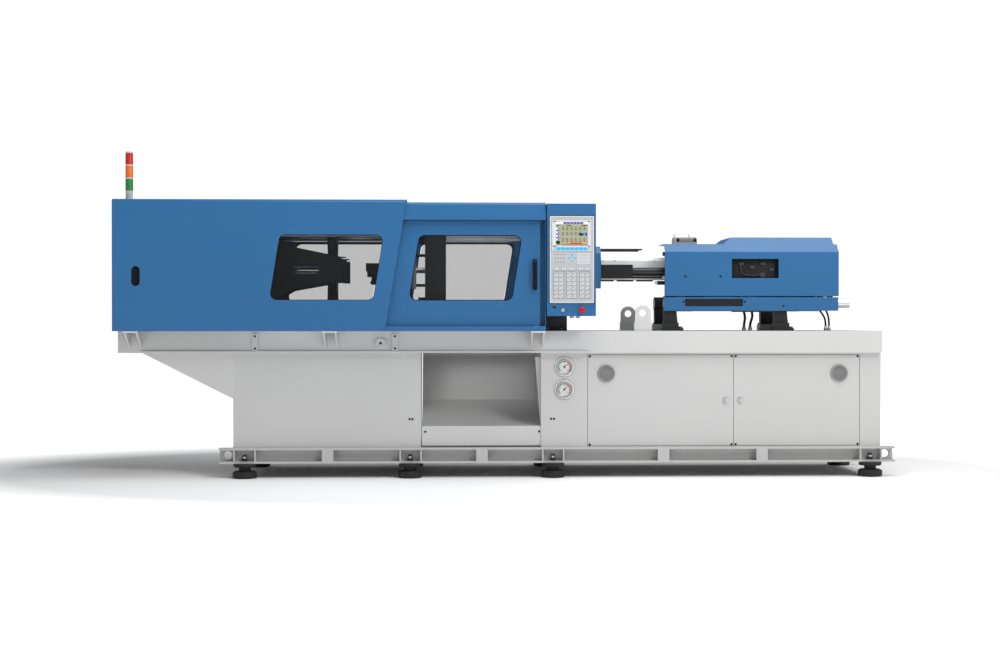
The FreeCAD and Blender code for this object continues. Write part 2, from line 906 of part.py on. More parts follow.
def make_gauges():
    front = -cabinet_front
    cases = []
    lenses = []
    axis = V(0, 1, 0)
    for z in gauge_heights:
        profile = [
            (0, gauge_depth),
            (gauge_case_radius, gauge_depth),
            (gauge_case_radius, 0),
            (gauge_flange_radius, 0),
            (gauge_flange_radius, -5),
            (gauge_bezel_radius, -6),
            (gauge_bezel_radius - 2, -16),
            (gauge_lens_radius - 1, -16),
            (gauge_lens_radius - 1, -13),
            (gauge_lens_radius, -13),
            (gauge_lens_radius, -11),
            (gauge_lens_radius - 1, -11),
            (gauge_lens_radius - 1, -4),
            (0, -4),
        ]
        centre = V(gauge_place, front, z)
        case = turned(profile, centre, axis)
        cases.append(case.cut(rod_y(2.5, front - 5, front + 8, gauge_place, z)))
        lens = turned(
            [(0, -12.8), (gauge_lens_radius - 0.1, -12.8), (gauge_lens_radius - 0.1, -11.2), (0, -11.2)],
            centre,
            axis,
        )
        lenses.append(lens)
    save("gauge_cases", Part.makeCompound(cases))
    save("gauge_lenses", Part.makeCompound(lenses))
    for name, z in zip(("upper", "lower"), gauge_heights):
        hub = rod_y(6, front - 9, front - 6, gauge_place, z)
        pin = rod_y(2.45, front - 7, front + 6, gauge_place, z)
        half = [(-2.2, 0.0), (2.2, 0.0), (0.8, 37.0), (-0.8, 37.0), (-1.4, -12.0)]
        outline = [(half[4][0], half[4][1]), (-half[4][0], half[4][1])] + half[1:4]
        needle = prism_y([(gauge_place + a, z + b) for a, b in outline], front - 8.2, front - 6.8)
        needle.rotate(V(gauge_place, 0, z), V(0, 1, 0), 45)
        save("gauge_pointer_" + name, joined([hub, pin, needle]))


def make_chute():
    """Bent sheet that carries the mouldings down to the operator's side."""
    x0 = tank_right + sheet
    x1 = bay_right - clearance
    lip = -cabinet_front + 8
    knee = lip + chute_flange
    top = bed_bottom - chute_top_drop
    sag = skid_top + chute_sag_rise
    bend = skid_top + chute_bend_rise
    under_line = chute_bend_line + chute_sheet * 0.7
    under_bend = bend - chute_sheet * 0.7
    under_lip = chute_lip_top - chute_sheet
    slide = Part.Arc(V(x0, knee, chute_lip_top), V(x0, chute_sag_line, sag), V(x0, chute_bend_line, bend))
    underside = Part.Arc(
        V(x0, knee, under_lip), V(x0, chute_sag_line, sag - chute_sheet), V(x0, under_line, under_bend)
    )
    corners = [
        V(x0, chute_bend_line, bend),
        V(x0, chute_back, top),
        V(x0, chute_back + chute_sheet, top),
        V(x0, under_line, under_bend),
    ]
    front = [
        V(x0, knee, under_lip),
        V(x0, lip + chute_sheet, under_lip),
        V(x0, lip + chute_sheet, chute_lip_bottom),
        V(x0, lip, chute_lip_bottom),
        V(x0, lip, chute_lip_top),
        V(x0, knee, chute_lip_top),
    ]
    edges = [slide.toShape(), underside.toShape()]
    for line in (corners, front):
        edges += [Part.makeLine(line[i], line[i + 1]) for i in range(len(line) - 1)]
    pan = Part.Face(Part.Wire(Part.__sortEdges__(edges))).extrude(V(x1 - x0, 0, 0))
    cheek = prism_y([(x1, chute_lip_top - 10), (x1, top), (x1 - 36, top)], knee, knee + chute_sheet)
    # Set back under the lip, so that a gap stays open above the skid.
    back = lip + chute_web_setback
    fold = box(x0, x1, lip + 1, back + chute_sheet, chute_lip_bottom, chute_lip_bottom + chute_sheet)
    web = box(x0, x1, back, back + chute_sheet, skid_top, chute_lip_bottom + 1)
    foot = box(x0, x1, back, -cabinet_front + bay_floor_inset - clearance, skid_top, skid_top + chute_sheet)
    save("discharge_chute", joined([pan, cheek, foot, web, fold]))


def make_pump():
    floor = skid_top + sheet
    middle = floor + motor_rise
    motor_right = motor_left + motor_length
    body = motor_radius - 14
    profile = [
        (0, 0),
        (motor_radius - 8, 0),
        (motor_radius, 12),
        (motor_radius, 52),
        (body, 60),
        (body, motor_length - 50),
        (motor_radius - 4, motor_length - 42),
        (motor_radius - 4, motor_length),
        (0, motor_length),
    ]
    motor = turned(profile, V(motor_left, motor_line, middle), V(1, 0, 0))
    bell = rod_x(bell_radius, motor_right - 1, motor_right + bell_length, motor_line, middle)
    bell_end = motor_right + bell_length
    pump = rod_x(pump_radius, bell_end - 1, bell_end + pump_length, motor_line, middle)
    terminals = box(
        motor_left + terminal_inset,
        motor_left + terminal_inset + terminal_length,
        motor_line - 50,
        motor_line + 50,
        middle + body - 12,
        middle + body + 53,
    )
    feet = []
    for inset in motor_foot_insets:
        x = motor_left + inset
        feet.append(
            box(
                x,
                x + motor_foot_length,
                motor_line - motor_radius,
                motor_line + motor_radius,
                floor,
                floor + motor_foot_height,
            )
        )
    save("pump_motor", joined([motor, bell, pump, terminals] + feet))


# ---------------------------------------------------------------- clamp unit
def platen_block(x0, x1):
    half = platen_half
    corners = [
        (-half, axis_height - half),
        (half, axis_height - half),
        (half, axis_height + half),
        (-half, axis_height + half),
    ]
    return rounded_x(corners, platen_corner, x0, x1)


def tie_holes(x0, x1, gap):
    return [rod_x(tie_radius + gap, x0 - 1, x1 + 1, y, z) for y, z in four_corners(tie_offset)]


def mould_bolt_holes(face, direction):
    holes = []
    x0, x1 = sorted((face - direction, face + direction * mould_bolt_depth))
    for ky in (-1.5, -0.5, 0.5, 1.5):
        for kz in (-1.5, -0.5, 0.5, 1.5):
            y = ky * mould_bolt_pitch
            z = axis_height + kz * mould_bolt_pitch
            near_bar = abs(abs(y) - tie_offset) < 60 and abs(abs(z - axis_height) - tie_offset) < 60
            if not near_bar:
                holes.append(rod_x(mould_bolt_radius, x0, x1, y, z))
    return holes


def make_fixed_platen():
    plate = platen_block(fixed_platen_face, fixed_platen_back)
    back = fixed_platen_back
    rib_end = back + fixed_rib_depth
    shapes = [plate]
    for side in (-1, 1):
        y0, y1 = sorted((side * shoe_inner, side * (platen_half - 10)))
        shapes.append(box(fixed_platen_face + 60, rib_end, y0, y1, bed_top + 15, platen_bottom + 40))
        shapes.append(box(fixed_platen_face + 60, rib_end, y0 - 8, y1 + 8, bed_top, bed_top + 16))
        z = axis_height + side * 178
        shapes.append(box(back - 1, rib_end - 10, -170, 170, z - 14, z + 14))
    body = joined(shapes)
    cuts = tie_holes(fixed_platen_face, back, running_gap)
    cuts += mould_bolt_holes(fixed_platen_face, 1)
    cuts.append(
        rod_x(
            locating_bore_radius,
            fixed_platen_face - 1,
            fixed_platen_face + locating_bore_depth,
            0,
            axis_height,
        )
    )
    cuts.append(rod_x(nozzle_radius + 8, fixed_platen_face - 1, back + 1, 0, axis_height))
    cone = Part.makeCone(
        nozzle_radius + 8,
        110,
        fixed_platen_thickness - 40,
        V(fixed_platen_face + 41, 0, axis_height),
        V(1, 0, 0),
    )
    cuts.append(cone)
    save("fixed_platen", body.cut(cuts))


def make_tie_bars():
    x0 = end_platen_back - nut_height - tie_overrun
    x1 = fixed_platen_back + nut_height + tie_overrun
    bars = [rod_x(tie_radius, x0, x1, y, z) for y, z in four_corners(tie_offset)]
    save("tie_bars", Part.makeCompound(bars))
    nuts = []
    for start in (end_platen_back - nut_height, fixed_platen_back):
        for y, z in four_corners(tie_offset):
            corners = []
            for k in range(6):
                a = math.radians(60 * k + 30)
                corners.append((y + nut_radius * math.cos(a), z + nut_radius * math.sin(a)))
            nut = prism_x(corners, start, start + nut_height)
            nuts.append(nut.cut(rod_x(tie_radius + running_gap, start - 1, start + nut_height + 1, y, z)))
    save("tie_bar_nuts", Part.makeCompound(nuts))


def nose_cheek(side):
    """Tapered side cheek of the end platen with its oval window and forked end."""
    mid = axis_height + nose_centre_lift
    y0, y1 = sorted((side * cheek_inner, side * (cheek_inner + cheek_thickness)))
    flare = 70.0
    outline = [
        (end_platen_face - 1, mid + nose_root_half + 28),
        (end_platen_face + flare, mid + nose_root_half),
        (nose_end, mid + nose_tip_half),
        (nose_end, mid - nose_tip_half),
        (end_platen_face + flare + 50, mid - nose_root_half + 20),
        (end_platen_face + flare - 20, mid - nose_root_half - 20),
        (end_platen_face - 1, mid - nose_root_half - 130),
    ]
    cheek = prism_y(outline, y0, y1)
    half = nose_slot_length / 2 - nose_slot_width / 2
    slot = box(
        nose_slot_centre - half,
        nose_slot_centre + half,
        y0 - 1,
        y1 + 1,
        mid - nose_slot_width / 2,
        mid + nose_slot_width / 2,
    )
    ends = [rod_y(nose_slot_width / 2, y0 - 1, y1 + 1, nose_slot_centre + s * half, mid) for s in (-1, 1)]
    f0, f1 = sorted((side * (cheek_inner - 25), side * (cheek_inner + cheek_thickness + 14)))
    web = box(nose_end - 12, nose_end, f0, f1, mid - nose_tip_half - 6, mid + nose_tip_half - 6)
    prongs = []
    for z in (mid + nose_tip_half - 8, mid - nose_tip_half - 8):
        prongs.append(box(nose_end - 1, nose_end + fork_length - 6, y0, y1, z, z + 8))
    plate = box(
        nose_end + 10,
        nose_end + fork_length,
        y0 + 4,
        y1 - 4,
        mid - nose_tip_half - 8,
        mid + nose_tip_half - 18,
    )
    foot = box(
        nose_end - 1,
        nose_end + fork_length - 4,
        y0 + 4,
        y1 - 4,
        mid - nose_tip_half - 6,
        mid - nose_tip_half + 6,
    )
    return joined([cheek, web, plate, foot] + prongs).cut([slot] + ends)


def make_end_platen():
    plate = platen_block(end_platen_back, end_platen_face)
    shapes = [plate, nose_cheek(-1), nose_cheek(1)]
    for side in (-1, 1):
        y0, y1 = sorted((side * shoe_inner, side * shoe_outer))
        shapes.append(box(end_platen_back + 5, end_platen_face + 30, y0, y1, bed_top, platen_bottom + 50))
    body = joined(shapes)
    cuts = tie_holes(end_platen_back, end_platen_face + 120, running_gap)
    cuts.append(
        rod_x(clamp_rod_radius + running_gap, end_platen_back - 1, end_platen_face + 1, 0, axis_height)
    )
    save("end_platen", body.cut(cuts))


def make_clamp_cylinder():
    """Clamp cylinder behind the end platen, its rod side closed by the platen."""
    right = end_platen_back
    left = right - clamp_stroke - clamp_piston_length - 60
    bore = clamp_cylinder_radius - clamp_cylinder_wall
    tube = rod_x(clamp_cylinder_radius, left, right, 0, axis_height)
    flange = rod_x(clamp_cylinder_radius + 35, right - 40, right, 0, axis_height)
    cap = rod_x(clamp_cylinder_radius + 12, left, left + 45, 0, axis_height)
    body = joined([tube, flange, cap]).cut(rod_x(bore, left + 50, right + 1, 0, axis_height))
    save("clamp_cylinder", body)
    piston_left = left + 55
    piston = rod_x(bore - running_gap, piston_left, piston_left + clamp_piston_length, 0, axis_height)
    rod = rod_x(clamp_rod_radius, piston_left, yoke_left, 0, axis_height)
    save("clamp_piston", joined([piston, rod]))


def make_yoke():
    """Waisted crosshead with the two thrust columns that push the moving platen."""
    half = yoke_half_height
    right = yoke_left + yoke_width
    bow = (yoke_width - yoke_waist) / 2
    y0 = -yoke_half_depth
    left_side = Part.Arc(
        V(yoke_left, y0, axis_height - half),
        V(yoke_left + bow, y0, axis_height),
        V(yoke_left, y0, axis_height + half),
    )
    right_side = Part.Arc(
        V(right, y0, axis_height + half), V(right - bow, y0, axis_height), V(right, y0, axis_height - half)
    )
    top = Part.makeLine(V(yoke_left, y0, axis_height + half), V(right, y0, axis_height + half))
    bottom = Part.makeLine(V(right, y0, axis_height - half), V(yoke_left, y0, axis_height - half))
    web = Part.Face(Part.Wire([left_side.toShape(), top, right_side.toShape(), bottom])).extrude(
        V(0, 2 * yoke_half_depth, 0)
    )
    hub = rod_x(clamp_rod_radius + 22, yoke_left, right, 0, axis_height)
    columns = []
    for s in (-1, 1):
        columns.append(rod_x(column_radius, right, moving_platen_back, 0, axis_height + s * column_offset))
    save("clamp_yoke", Part.makeCompound([joined([web, hub])] + columns))


def make_moving_platen():
    plate = platen_block(moving_platen_back, moving_platen_face)
    shapes = [plate]
    for side in (-1, 1):
        y0, y1 = sorted((side * shoe_inner, side * shoe_outer))
        shapes.append(
            box(
                moving_platen_back - 60,
                moving_platen_face - 15,
                y0,
                y1,
                bed_top + clearance,
                platen_bottom + 40,
            )
        )
        for s in (-1, 1):
            y, z = side * tie_offset, axis_height + s * tie_offset
            shapes.append(rod_x(tie_radius + 20, moving_platen_back - 45, moving_platen_back + 1, y, z))
    body = joined(shapes)
    cuts = tie_holes(moving_platen_back - 45, moving_platen_face, running_gap)
    cuts += mould_bolt_holes(moving_platen_face, -1)
    cuts.append(
        rod_x(
            locating_bore_radius,
            moving_platen_face - locating_bore_depth,
            moving_platen_face + 1,
            0,
            axis_height,
        )
    )
    cuts.append(rod_x(ejector_ram_radius + 2, moving_platen_back - 1, moving_platen_face + 1, 0, axis_height))
    reach_y = ejector_plate_half_width + 6
    reach_z = ejector_plate_half_height + 6
    depth = ejector_stroke - (moving_platen_back - ejector_plate_left - ejector_plate_thickness) + 6
    pocket = box(
        moving_platen_back - 1,
        moving_platen_back + depth,
        -reach_y,
        reach_y,
        axis_height - reach_z,
        axis_height + reach_z,
    )
    cuts.append(pocket)
    save("moving_platen", body.cut(cuts))
    return moving_platen_back + depth


def make_ejector(pocket_floor):
    left = ejector_flange_left
    flange_right = left + ejector_flange_thickness
    half_z = ejector_plate_half_height
    flange = box(
        left,
        flange_right,
        -ejector_plate_half_width,
        ejector_plate_half_width,
        axis_height - half_z,
        axis_height + half_z,
    )
    body = rod_x(ejector_body_radius, ejector_tail_left + 10, left + 1, 0, axis_height)
    tail_top = axis_height + 48
    tail_right = ejector_tail_left + ejector_tail_length
    tail = box(ejector_tail_left, tail_right, -30, 30, axis_height - 8, tail_top)
    leg = box(tail_right - 50, tail_right, -30, 30, axis_height - 96, axis_height)
    toe = rod_y(14, -30, 30, tail_right - 44, axis_height - 82)
    rods = [
        rod_x(ejector_rod_radius, flange_right - 1, pocket_floor, 0, axis_height + s * ejector_rod_spacing)
        for s in (-1, 1)
    ]
    ram_length = ejector_stroke + 40
    bore = rod_x(ejector_ram_radius + running_gap, left - ram_length - 20, flange_right + 1, 0, axis_height)
    save("ejector_cylinder", joined([flange, body, tail, leg, toe] + rods).cut(bore))
    plate_right = ejector_plate_left + ejector_plate_thickness
    plate = box(
        ejector_plate_left,
        plate_right,
        -ejector_plate_half_width,
        ejector_plate_half_width,
        axis_height - half_z,
        axis_height + half_z,
    )
    holes = [
        rod_x(
            ejector_rod_radius + running_gap,
            ejector_plate_left - 1,
            plate_right + 1,
            0,
            axis_height + s * ejector_rod_spacing,
        )
        for s in (-1, 1)
    ]
    ram = rod_x(ejector_ram_radius, left - 10, moving_platen_face - ejector_stroke - 10, 0, axis_height)
    save("ejector_plate", joined([plate.cut(holes), ram]))


# -------------------------------------------------------------------- guards
def tail_guard():
    """Operator-side panel of the tail guard, bent over into the roof."""
    outer_bend = guard_bend
    inner_bend = guard_bend - guard_sheet
    front = -guard_front
    inside = front + guard_sheet
    reach = -guard_front + guard_roof_reach
    under = guard_top - guard_sheet
    s = math.sqrt(0.5)
    x0 = guard_left
    bend_y = front + outer_bend
    bend_z = guard_top - outer_bend
    outer_mid = V(x0, bend_y - outer_bend * s, bend_z + outer_bend * s)
    inner_mid = V(x0, bend_y - inner_bend * s, bend_z + inner_bend * s)
    edges = [
        Part.makeLine(V(x0, front, sill_bottom), V(x0, front, bend_z)),
        Part.Arc(V(x0, front, bend_z), outer_mid, V(x0, bend_y, guard_top)).toShape(),
        Part.makeLine(V(x0, bend_y, guard_top), V(x0, reach, guard_top)),
        Part.makeLine(V(x0, reach, guard_top), V(x0, reach, under)),
        Part.makeLine(V(x0, reach, under), V(x0, bend_y, under)),
        Part.Arc(V(x0, bend_y, under), inner_mid, V(x0, inside, bend_z)).toShape(),
        Part.makeLine(V(x0, inside, bend_z), V(x0, inside, sill_bottom)),
        Part.makeLine(V(x0, inside, sill_bottom), V(x0, front, sill_bottom)),
    ]
    panel = Part.Face(Part.Wire(edges)).extrude(V(guard_edge_top - guard_left, 0, 0))
    fold = box(guard_left, guard_edge_bottom, front, front + 9, sill_bottom, sill_bottom + guard_sheet)
    hook = 40.0
    slope = (guard_edge_top - guard_edge_bottom) / (guard_top - sill_bottom)
    off = [
        (guard_edge_bottom, sill_bottom - 1),
        (guard_edge_bottom + slope * (guard_top - sill_bottom + 2), guard_top + 1),
        (guard_edge_top + 200, guard_top + 1),
        (guard_edge_top + 200, sill_bottom - 1),
    ]
    edge_fold = prism_y(
        [
            (guard_edge_bottom - guard_sheet, sill_bottom),
            (guard_edge_bottom, sill_bottom),
            (guard_edge_top, guard_top),
            (guard_edge_top - guard_sheet, guard_top),
        ],
        front + 1,
        front + guard_sheet + 3,
    )
    left_fold = box(guard_left, guard_left + guard_sheet, front + 1, front + hook, sill_bottom, bend_z)
    body = joined([panel.cut(prism_y(off, front - 1, reach + 1)), fold, edge_fold, left_fold])
    window = rounded_y(
        window_points(tail_window_left, tail_window_right, window_bottom, window_top),
        window_corner,
        front - 1,
        inside + 1,
    )
    body = body.cut(window)
    half = pull_length / 2 - pull_width / 2
    dish = [
        rod_y(pull_width / 2, front + 2, front + pull_depth, pull_centre, pull_height + s2 * half)
        for s2 in (-1, 1)
    ]
    dish.append(
        box(
            pull_centre - pull_width / 2,
            pull_centre + pull_width / 2,
            front + 2,
            front + pull_depth,
            pull_height - half,
            pull_height + half,
        )
    )
    r = pull_width / 2 - 3
    hollow = [
        rod_y(r, front - 1, front + pull_depth - 2, pull_centre, pull_height + s2 * half)
        for s2 in (-1, 1)
    ]
    hollow.append(
        box(
            pull_centre - r,
            pull_centre + r,
            front - 1,
            front + pull_depth - 2,
            pull_height - half,
            pull_height + half,
        )
    )
    return joined([body] + dish).cut(hollow)


def window_pane(left, right, plane):
    points = window_points(left, right, window_bottom, window_top, pane_margin)
    return rounded_y(points, window_corner, plane, plane + pane_thickness)


def make_tail_guards():
    front = tail_guard()
    save("tail_guards", Part.makeCompound([front, mirrored(front)]))
    pane = window_pane(tail_window_left, tail_window_right, -guard_front + guard_sheet)
    save("tail_window_panes", Part.makeCompound([pane, mirrored(pane)]))
    reach = guard_front - guard_roof_reach
    roof = box(guard_left, guard_edge_top, -reach, reach, guard_top - guard_sheet, guard_top)
    x1 = guard_left + guard_sheet
    side = guard_front - 40
    end = box(guard_left, x1, -side, side, sill_bottom, guard_top - guard_sheet)
    save("tail_hood", joined([roof, end]))


def header_beam():
    front = -header_front
    back = front + header_depth
    outline = [
        (front, header_bottom),
        (front, header_bottom + 20),
        (front + 12, header_top - 14),
        (front + 24, header_top),
        (back, header_top),
        (back, header_bottom),
    ]
    beam = prism_x(outline, header_left, header_right)
    y0 = -safety_door_front - safety_door_clearance
    y1 = -safety_door_front + safety_door_thickness + safety_door_clearance
    track = box(header_left + post_width, header_right - 4, y0, y1, header_bottom - 1, header_bottom + 42)
    pocket = box(header_left + 4, header_right - 4, y1 + 6, back - 6, header_bottom + 8, header_top - 8)
    return beam.cut([track, pocket])


def make_guard_frame():
    front = -header_front
    back = front + header_depth
    beam = header_beam()
    sill = box(header_left, header_right, front, back, sill_bottom, sill_top)
    track_y = -safety_door_front + safety_door_thickness / 2
    groove = box(
        header_left + post_width, header_right - 4, track_y - 8, track_y + 8, sill_top - 14, sill_top + 1
    )
    posts = [
        box(header_right - post_width, header_right, -end_post_front, back, sill_top - 1, header_bottom + 1),
        box(header_right - 4, header_right, front + 4, back, sill_top - 1, header_bottom + 1),
        box(header_left, header_left + post_width, front, back, sill_top - 1, header_bottom + 1),
    ]
    side = joined([beam, sill.cut(groove)] + posts)
    half = header_front - header_depth
    ties = []
    for x in (header_left, header_right - post_width):
        ties.append(box(x, x + post_width, -half - 1, half + 1, header_top - 50, header_top - 10))
    save("guard_frame", joined([side, mirrored(side)] + ties))


def safety_door():
    front = -safety_door_front
    back = front + safety_door_thickness
    bottom = sill_top + safety_door_floor_gap
    top = header_bottom + 36
    lean = 110.0
    outline = [
        (safety_door_left, bottom),
        (safety_door_right, bottom),
        (safety_door_right, top),
        (safety_door_left + lean, top),
    ]
    slab = prism_y(outline, front, back)
    wall = 3.0
    inner = [
        (safety_door_left + 2 * wall, bottom + wall),
        (safety_door_right - wall, bottom + wall),
        (safety_door_right - wall, top - wall),
        (safety_door_left + lean + wall, top - wall),
    ]
    shell = slab.cut(prism_y(inner, front + wall, back + 1))
    frame_outer = window_points(door_window_left, door_window_right, window_bottom, window_top, 30)
    frame = rounded_y(frame_outer, window_corner + 20, front + 1, back)
    shell = joined([shell, frame])
    hole = rounded_y(
        window_points(door_window_left, door_window_right, window_bottom, window_top),
        window_corner,
        front - 1,
        back + 1,
    )
    rebate_points = window_points(door_window_left, door_window_right, window_bottom, window_top, pane_margin)
    rebate = rounded_y(rebate_points, window_corner, front + 6, back + 1)
    track_y = front + safety_door_thickness / 2
    shoes = [
        box(x, x + 90, track_y - 6, track_y + 6, sill_top - 12, bottom + 2)
        for x in (safety_door_left + 60, safety_door_right - 150)
    ]
    return joined([shell.cut([hole, rebate])] + shoes)


def door_handle():
    front = -safety_door_front
    reach = front - handle_reach
    x0 = handle_left
    x1 = handle_left + handle_width
    top = handle_bottom + handle_height
    outline = [
        (front, handle_bottom),
        (front, handle_bottom + 34),
        (reach + handle_bar, handle_bottom + 52),
        (reach + handle_bar, top - 52),
        (front, top - 34),
        (front, top),
        (reach + 6, top - 22),
        (reach, top - 34),
        (reach, handle_bottom + 34),
        (reach + 6, handle_bottom + 22),
    ]
    return prism_x(outline, x0, x1)


def make_safety_doors():
    door = safety_door()
    handle = door_handle()
    pane = window_pane(door_window_left, door_window_right, -safety_door_front + 6)
    save("front_door", door)
    save("front_door_handle", handle)
    save("front_door_pane", pane)
    save("rear_door", mirrored(joined([door, handle])))
    save("rear_door_pane", mirrored(pane))


# -------------------------------------------------- control cabinet and panel
def make_control():
    front = -guard_front
    back = front + control_depth
    wall = control_sheet
    body = box(control_left, control_right, front, back, control_bottom, control_top)
    body = body.cut(
        box(
            control_left + wall,
            control_right - wall,
            front + wall,
            back - wall,
            control_bottom + wall,
            control_top - wall,
        )
    )
    opening = box(
        panel_left + panel_rim,
        panel_right - panel_rim,
        front - 1,
        front + wall + 1,
        panel_bottom + panel_rim,
        panel_top - panel_rim,
    )
    port = box(
        port_left,
        port_left + port_width,
        front - 1,
        front + wall + 1,
        port_row - port_height / 2,
        port_row + port_height / 2,
    )
    holes = [opening, port]
    holes.append(
        rod_y(estop_shank_radius + running_gap, front - 1, front + wall + 1, estop_place, button_row)
    )
    holes.append(
        rod_y(key_switch_radius + running_gap, front - 1, front + wall + 1, key_switch_place, button_row)
    )
    pads = []
    for z in (control_bottom + 60, control_top - 90):
        pads.append(box(header_right, control_left + 1, -header_front + 20, -header_front + 90, z, z + 40))
    glands = [
        rod_z(9, control_bottom - 14, control_bottom + 1, control_left + x, front + 80)
        for x in (165, 205)
    ]
    arm = box(
        control_left + 40, control_left + 110, back - 1, -platen_half, control_top - 260, control_top - 200
    )
    save("control_cabinet", joined([body.cut(holes), arm] + pads + glands))


def rounded_plate(x0, x1, z0, z1, radius, y0, y1):
    return rounded_y([(x0, z0), (x1, z0), (x1, z1), (x0, z1)], radius, y0, y1)


def make_panel():
    front = -guard_front
    face = front - panel_proud
    plate = rounded_plate(panel_left, panel_right, panel_bottom, panel_top, 6, face, front)
    plug = box(
        panel_left + panel_rim + 1,
        panel_right - panel_rim - 1,
        front - 1,
        front + 12,
        panel_bottom + panel_rim + 1,
        panel_top - panel_rim - 1,
    )
    field = box(
        panel_left + panel_rim,
        panel_right - panel_rim,
        face - 1,
        face + 1.5,
        panel_bottom + panel_rim,
        panel_top - panel_rim,
    )
    bezel_face = face - bezel_proud
    bezel = rounded_plate(
        bezel_left, bezel_right, bezel_bottom, bezel_top, bezel_corner, bezel_face, face + 3
    )
    body = joined([joined([plate, plug]).cut(field), bezel])
    glass_back = bezel_face + screen_recess + 2
    window = box(screen_left, screen_right, bezel_face - 1, glass_back, screen_bottom, screen_top)
    save("operator_panel", body.cut(window))
    gap = clearance
    glass = box(
        screen_left + gap,
        screen_right - gap,
        bezel_face + screen_recess,
        glass_back,
        screen_bottom + gap,
        screen_top - gap,
    )
    save("screen", glass)
    keys = []
    middle = (screen_left + screen_right) / 2
    for k in range(function_key_count):
        x = middle + (k - (function_key_count - 1) / 2) * function_key_pitch
        half = function_key_width / 2
        z = function_key_row
        keys.append(
            rounded_plate(
                x - half,
                x + half,
                z - function_key_height / 2,
                z + function_key_height / 2,
                5,
                bezel_face - key_proud,
                bezel_face,
            )
        )
    field_face = face + 1.5
    key_face = field_face - key_proud
    # Cursor cross, number pad and the left pad under the screen.
    for inset in pad_insets:
        for column in range(4):
            for row in range(3):
                x = panel_left + inset + column * pad_pitch
                z = panel_bottom + pad_rise - row * pad_row_pitch
                half = pad_key_half
                keys.append(box(x - half, x + half, key_face, field_face, z - half, z + half))
    x = panel_left + cursor_inset
    z = panel_bottom + cursor_rise
    for across, up in ((0, 1), (0, -1), (-1, 0), (1, 0), (0, 0)):
        shift = cursor_pitch * across
        rise = cursor_pitch * up
        keys.append(rod_y(cursor_radius, key_face, field_face, x + shift, z + rise))
    for inset in mode_key_insets:
        x = panel_left + inset
        z = panel_bottom + mode_key_rise
        half = mode_key_width / 2
        keys.append(box(x - half, x + half, key_face, field_face, z, z + mode_key_height))
    for group in range(3):
        for column in range(2):
            for row in range(6):
                x = panel_left + axis_key_inset + group * axis_group_pitch
                x += column * axis_column_pitch
                z = panel_bottom + axis_key_rise - row * axis_row_pitch
                width = axis_key_width / 2
                height = axis_key_height / 2
                keys.append(box(x - width, x + width, key_face, field_face, z - height, z + height))
    save("panel_keys", Part.makeCompound(keys))


def make_buttons():
    front = -guard_front
    profile = [
        (0, 26),
        (estop_shank_radius, 26),
        (estop_shank_radius, -14),
        (estop_radius - 2, -14),
        (estop_radius, -17),
        (estop_radius, -22),
        (estop_radius - 5, -27),
        (0, -28),
    ]
    save("estop_button", turned(profile, V(estop_place, front, button_row), V(0, 1, 0)))
    r = key_switch_radius
    barrel = turned(
        [(0, 24), (r, 24), (r, 0), (r + 3, -0.5), (r + 3, -5), (r, -9), (0, -9)],
        V(key_switch_place, front, button_row),
        V(0, 1, 0),
    )
    slot = box(
        key_switch_place - 1.2,
        key_switch_place + 1.2,
        front - 10,
        front - 4,
        button_row - 6,
        button_row + 6,
    )
    save("key_switch", barrel.cut(slot))


def make_tower():
    """Signal tower: foot, core and rings in one piece, three lamp lenses round it."""
    foot_top = tower_base_height
    step = tower_lamp_height + tower_ring
    profile = [
        (0, 0),
        (tower_radius + 6, 0),
        (tower_radius + 6, 5),
        (tower_radius - 2, 8),
        (tower_radius - 2, foot_top),
    ]
    z = foot_top
    lamps = []
    base = V(tower_place, tower_line, guard_top)
    for k in range(tower_lamp_count):
        profile += [
            (tower_core_radius, z),
            (tower_core_radius, z + tower_lamp_height),
            (tower_radius - 1, z + tower_lamp_height),
        ]
        inner = tower_core_radius + clearance
        ring = [
            (inner, z),
            (tower_radius, z),
            (tower_radius, z + tower_lamp_height),
            (inner, z + tower_lamp_height),
        ]
        lamps.append(turned(ring, base, V(0, 0, 1)))
        z += step
        profile.append((tower_radius - 1, z))
    profile += [(0, z + 3)]
    save("signal_tower", turned(profile, base, V(0, 0, 1)))
    save("tower_lamps", Part.makeCompound(lamps))


# ------------------------------------------------------------ injection unit
def guide_stand(x, side):
    """Pedestal bolted to the bed that holds one guide bar."""
    middle = side * bar_line
    y0 = middle - stand_half_width
    y1 = middle + stand_half_width
    base = box(x, x + stand_length, y0, y1, bed_top, bed_top + stand_base)
    block_top = bed_top + stand_base + stand_block
    block = box(x + 2, x + stand_length - 30, y0 + 6, y1 - 6, bed_top + stand_base - 1, block_top)
    eye_left = x + 4
    eye_right = x + 84
    web = prism_y(
        [
            (x + 6, block_top - 1),
            (x + stand_length - 34, block_top - 1),
            (eye_right, bar_height),
            (eye_left, bar_height),
        ],
        middle - 30,
        middle + 30,
    )
    eye = rod_x(stand_eye_radius, eye_left, eye_right, middle, bar_height)
    return joined([base, block, web, eye]).cut(
        rod_x(bar_radius + running_gap, x - 1, x + stand_length + 1, middle, bar_height)
    )


def make_guide_bars():
    bars = [rod_x(bar_radius, bar_left, bar_right, side * bar_line, bar_height) for side in (-1, 1)]
    save("guide_bars", Part.makeCompound(bars))
    stands = [guide_stand(x, side) for x in stand_places for side in (-1, 1)]
    save("guide_stands", Part.makeCompound(stands))


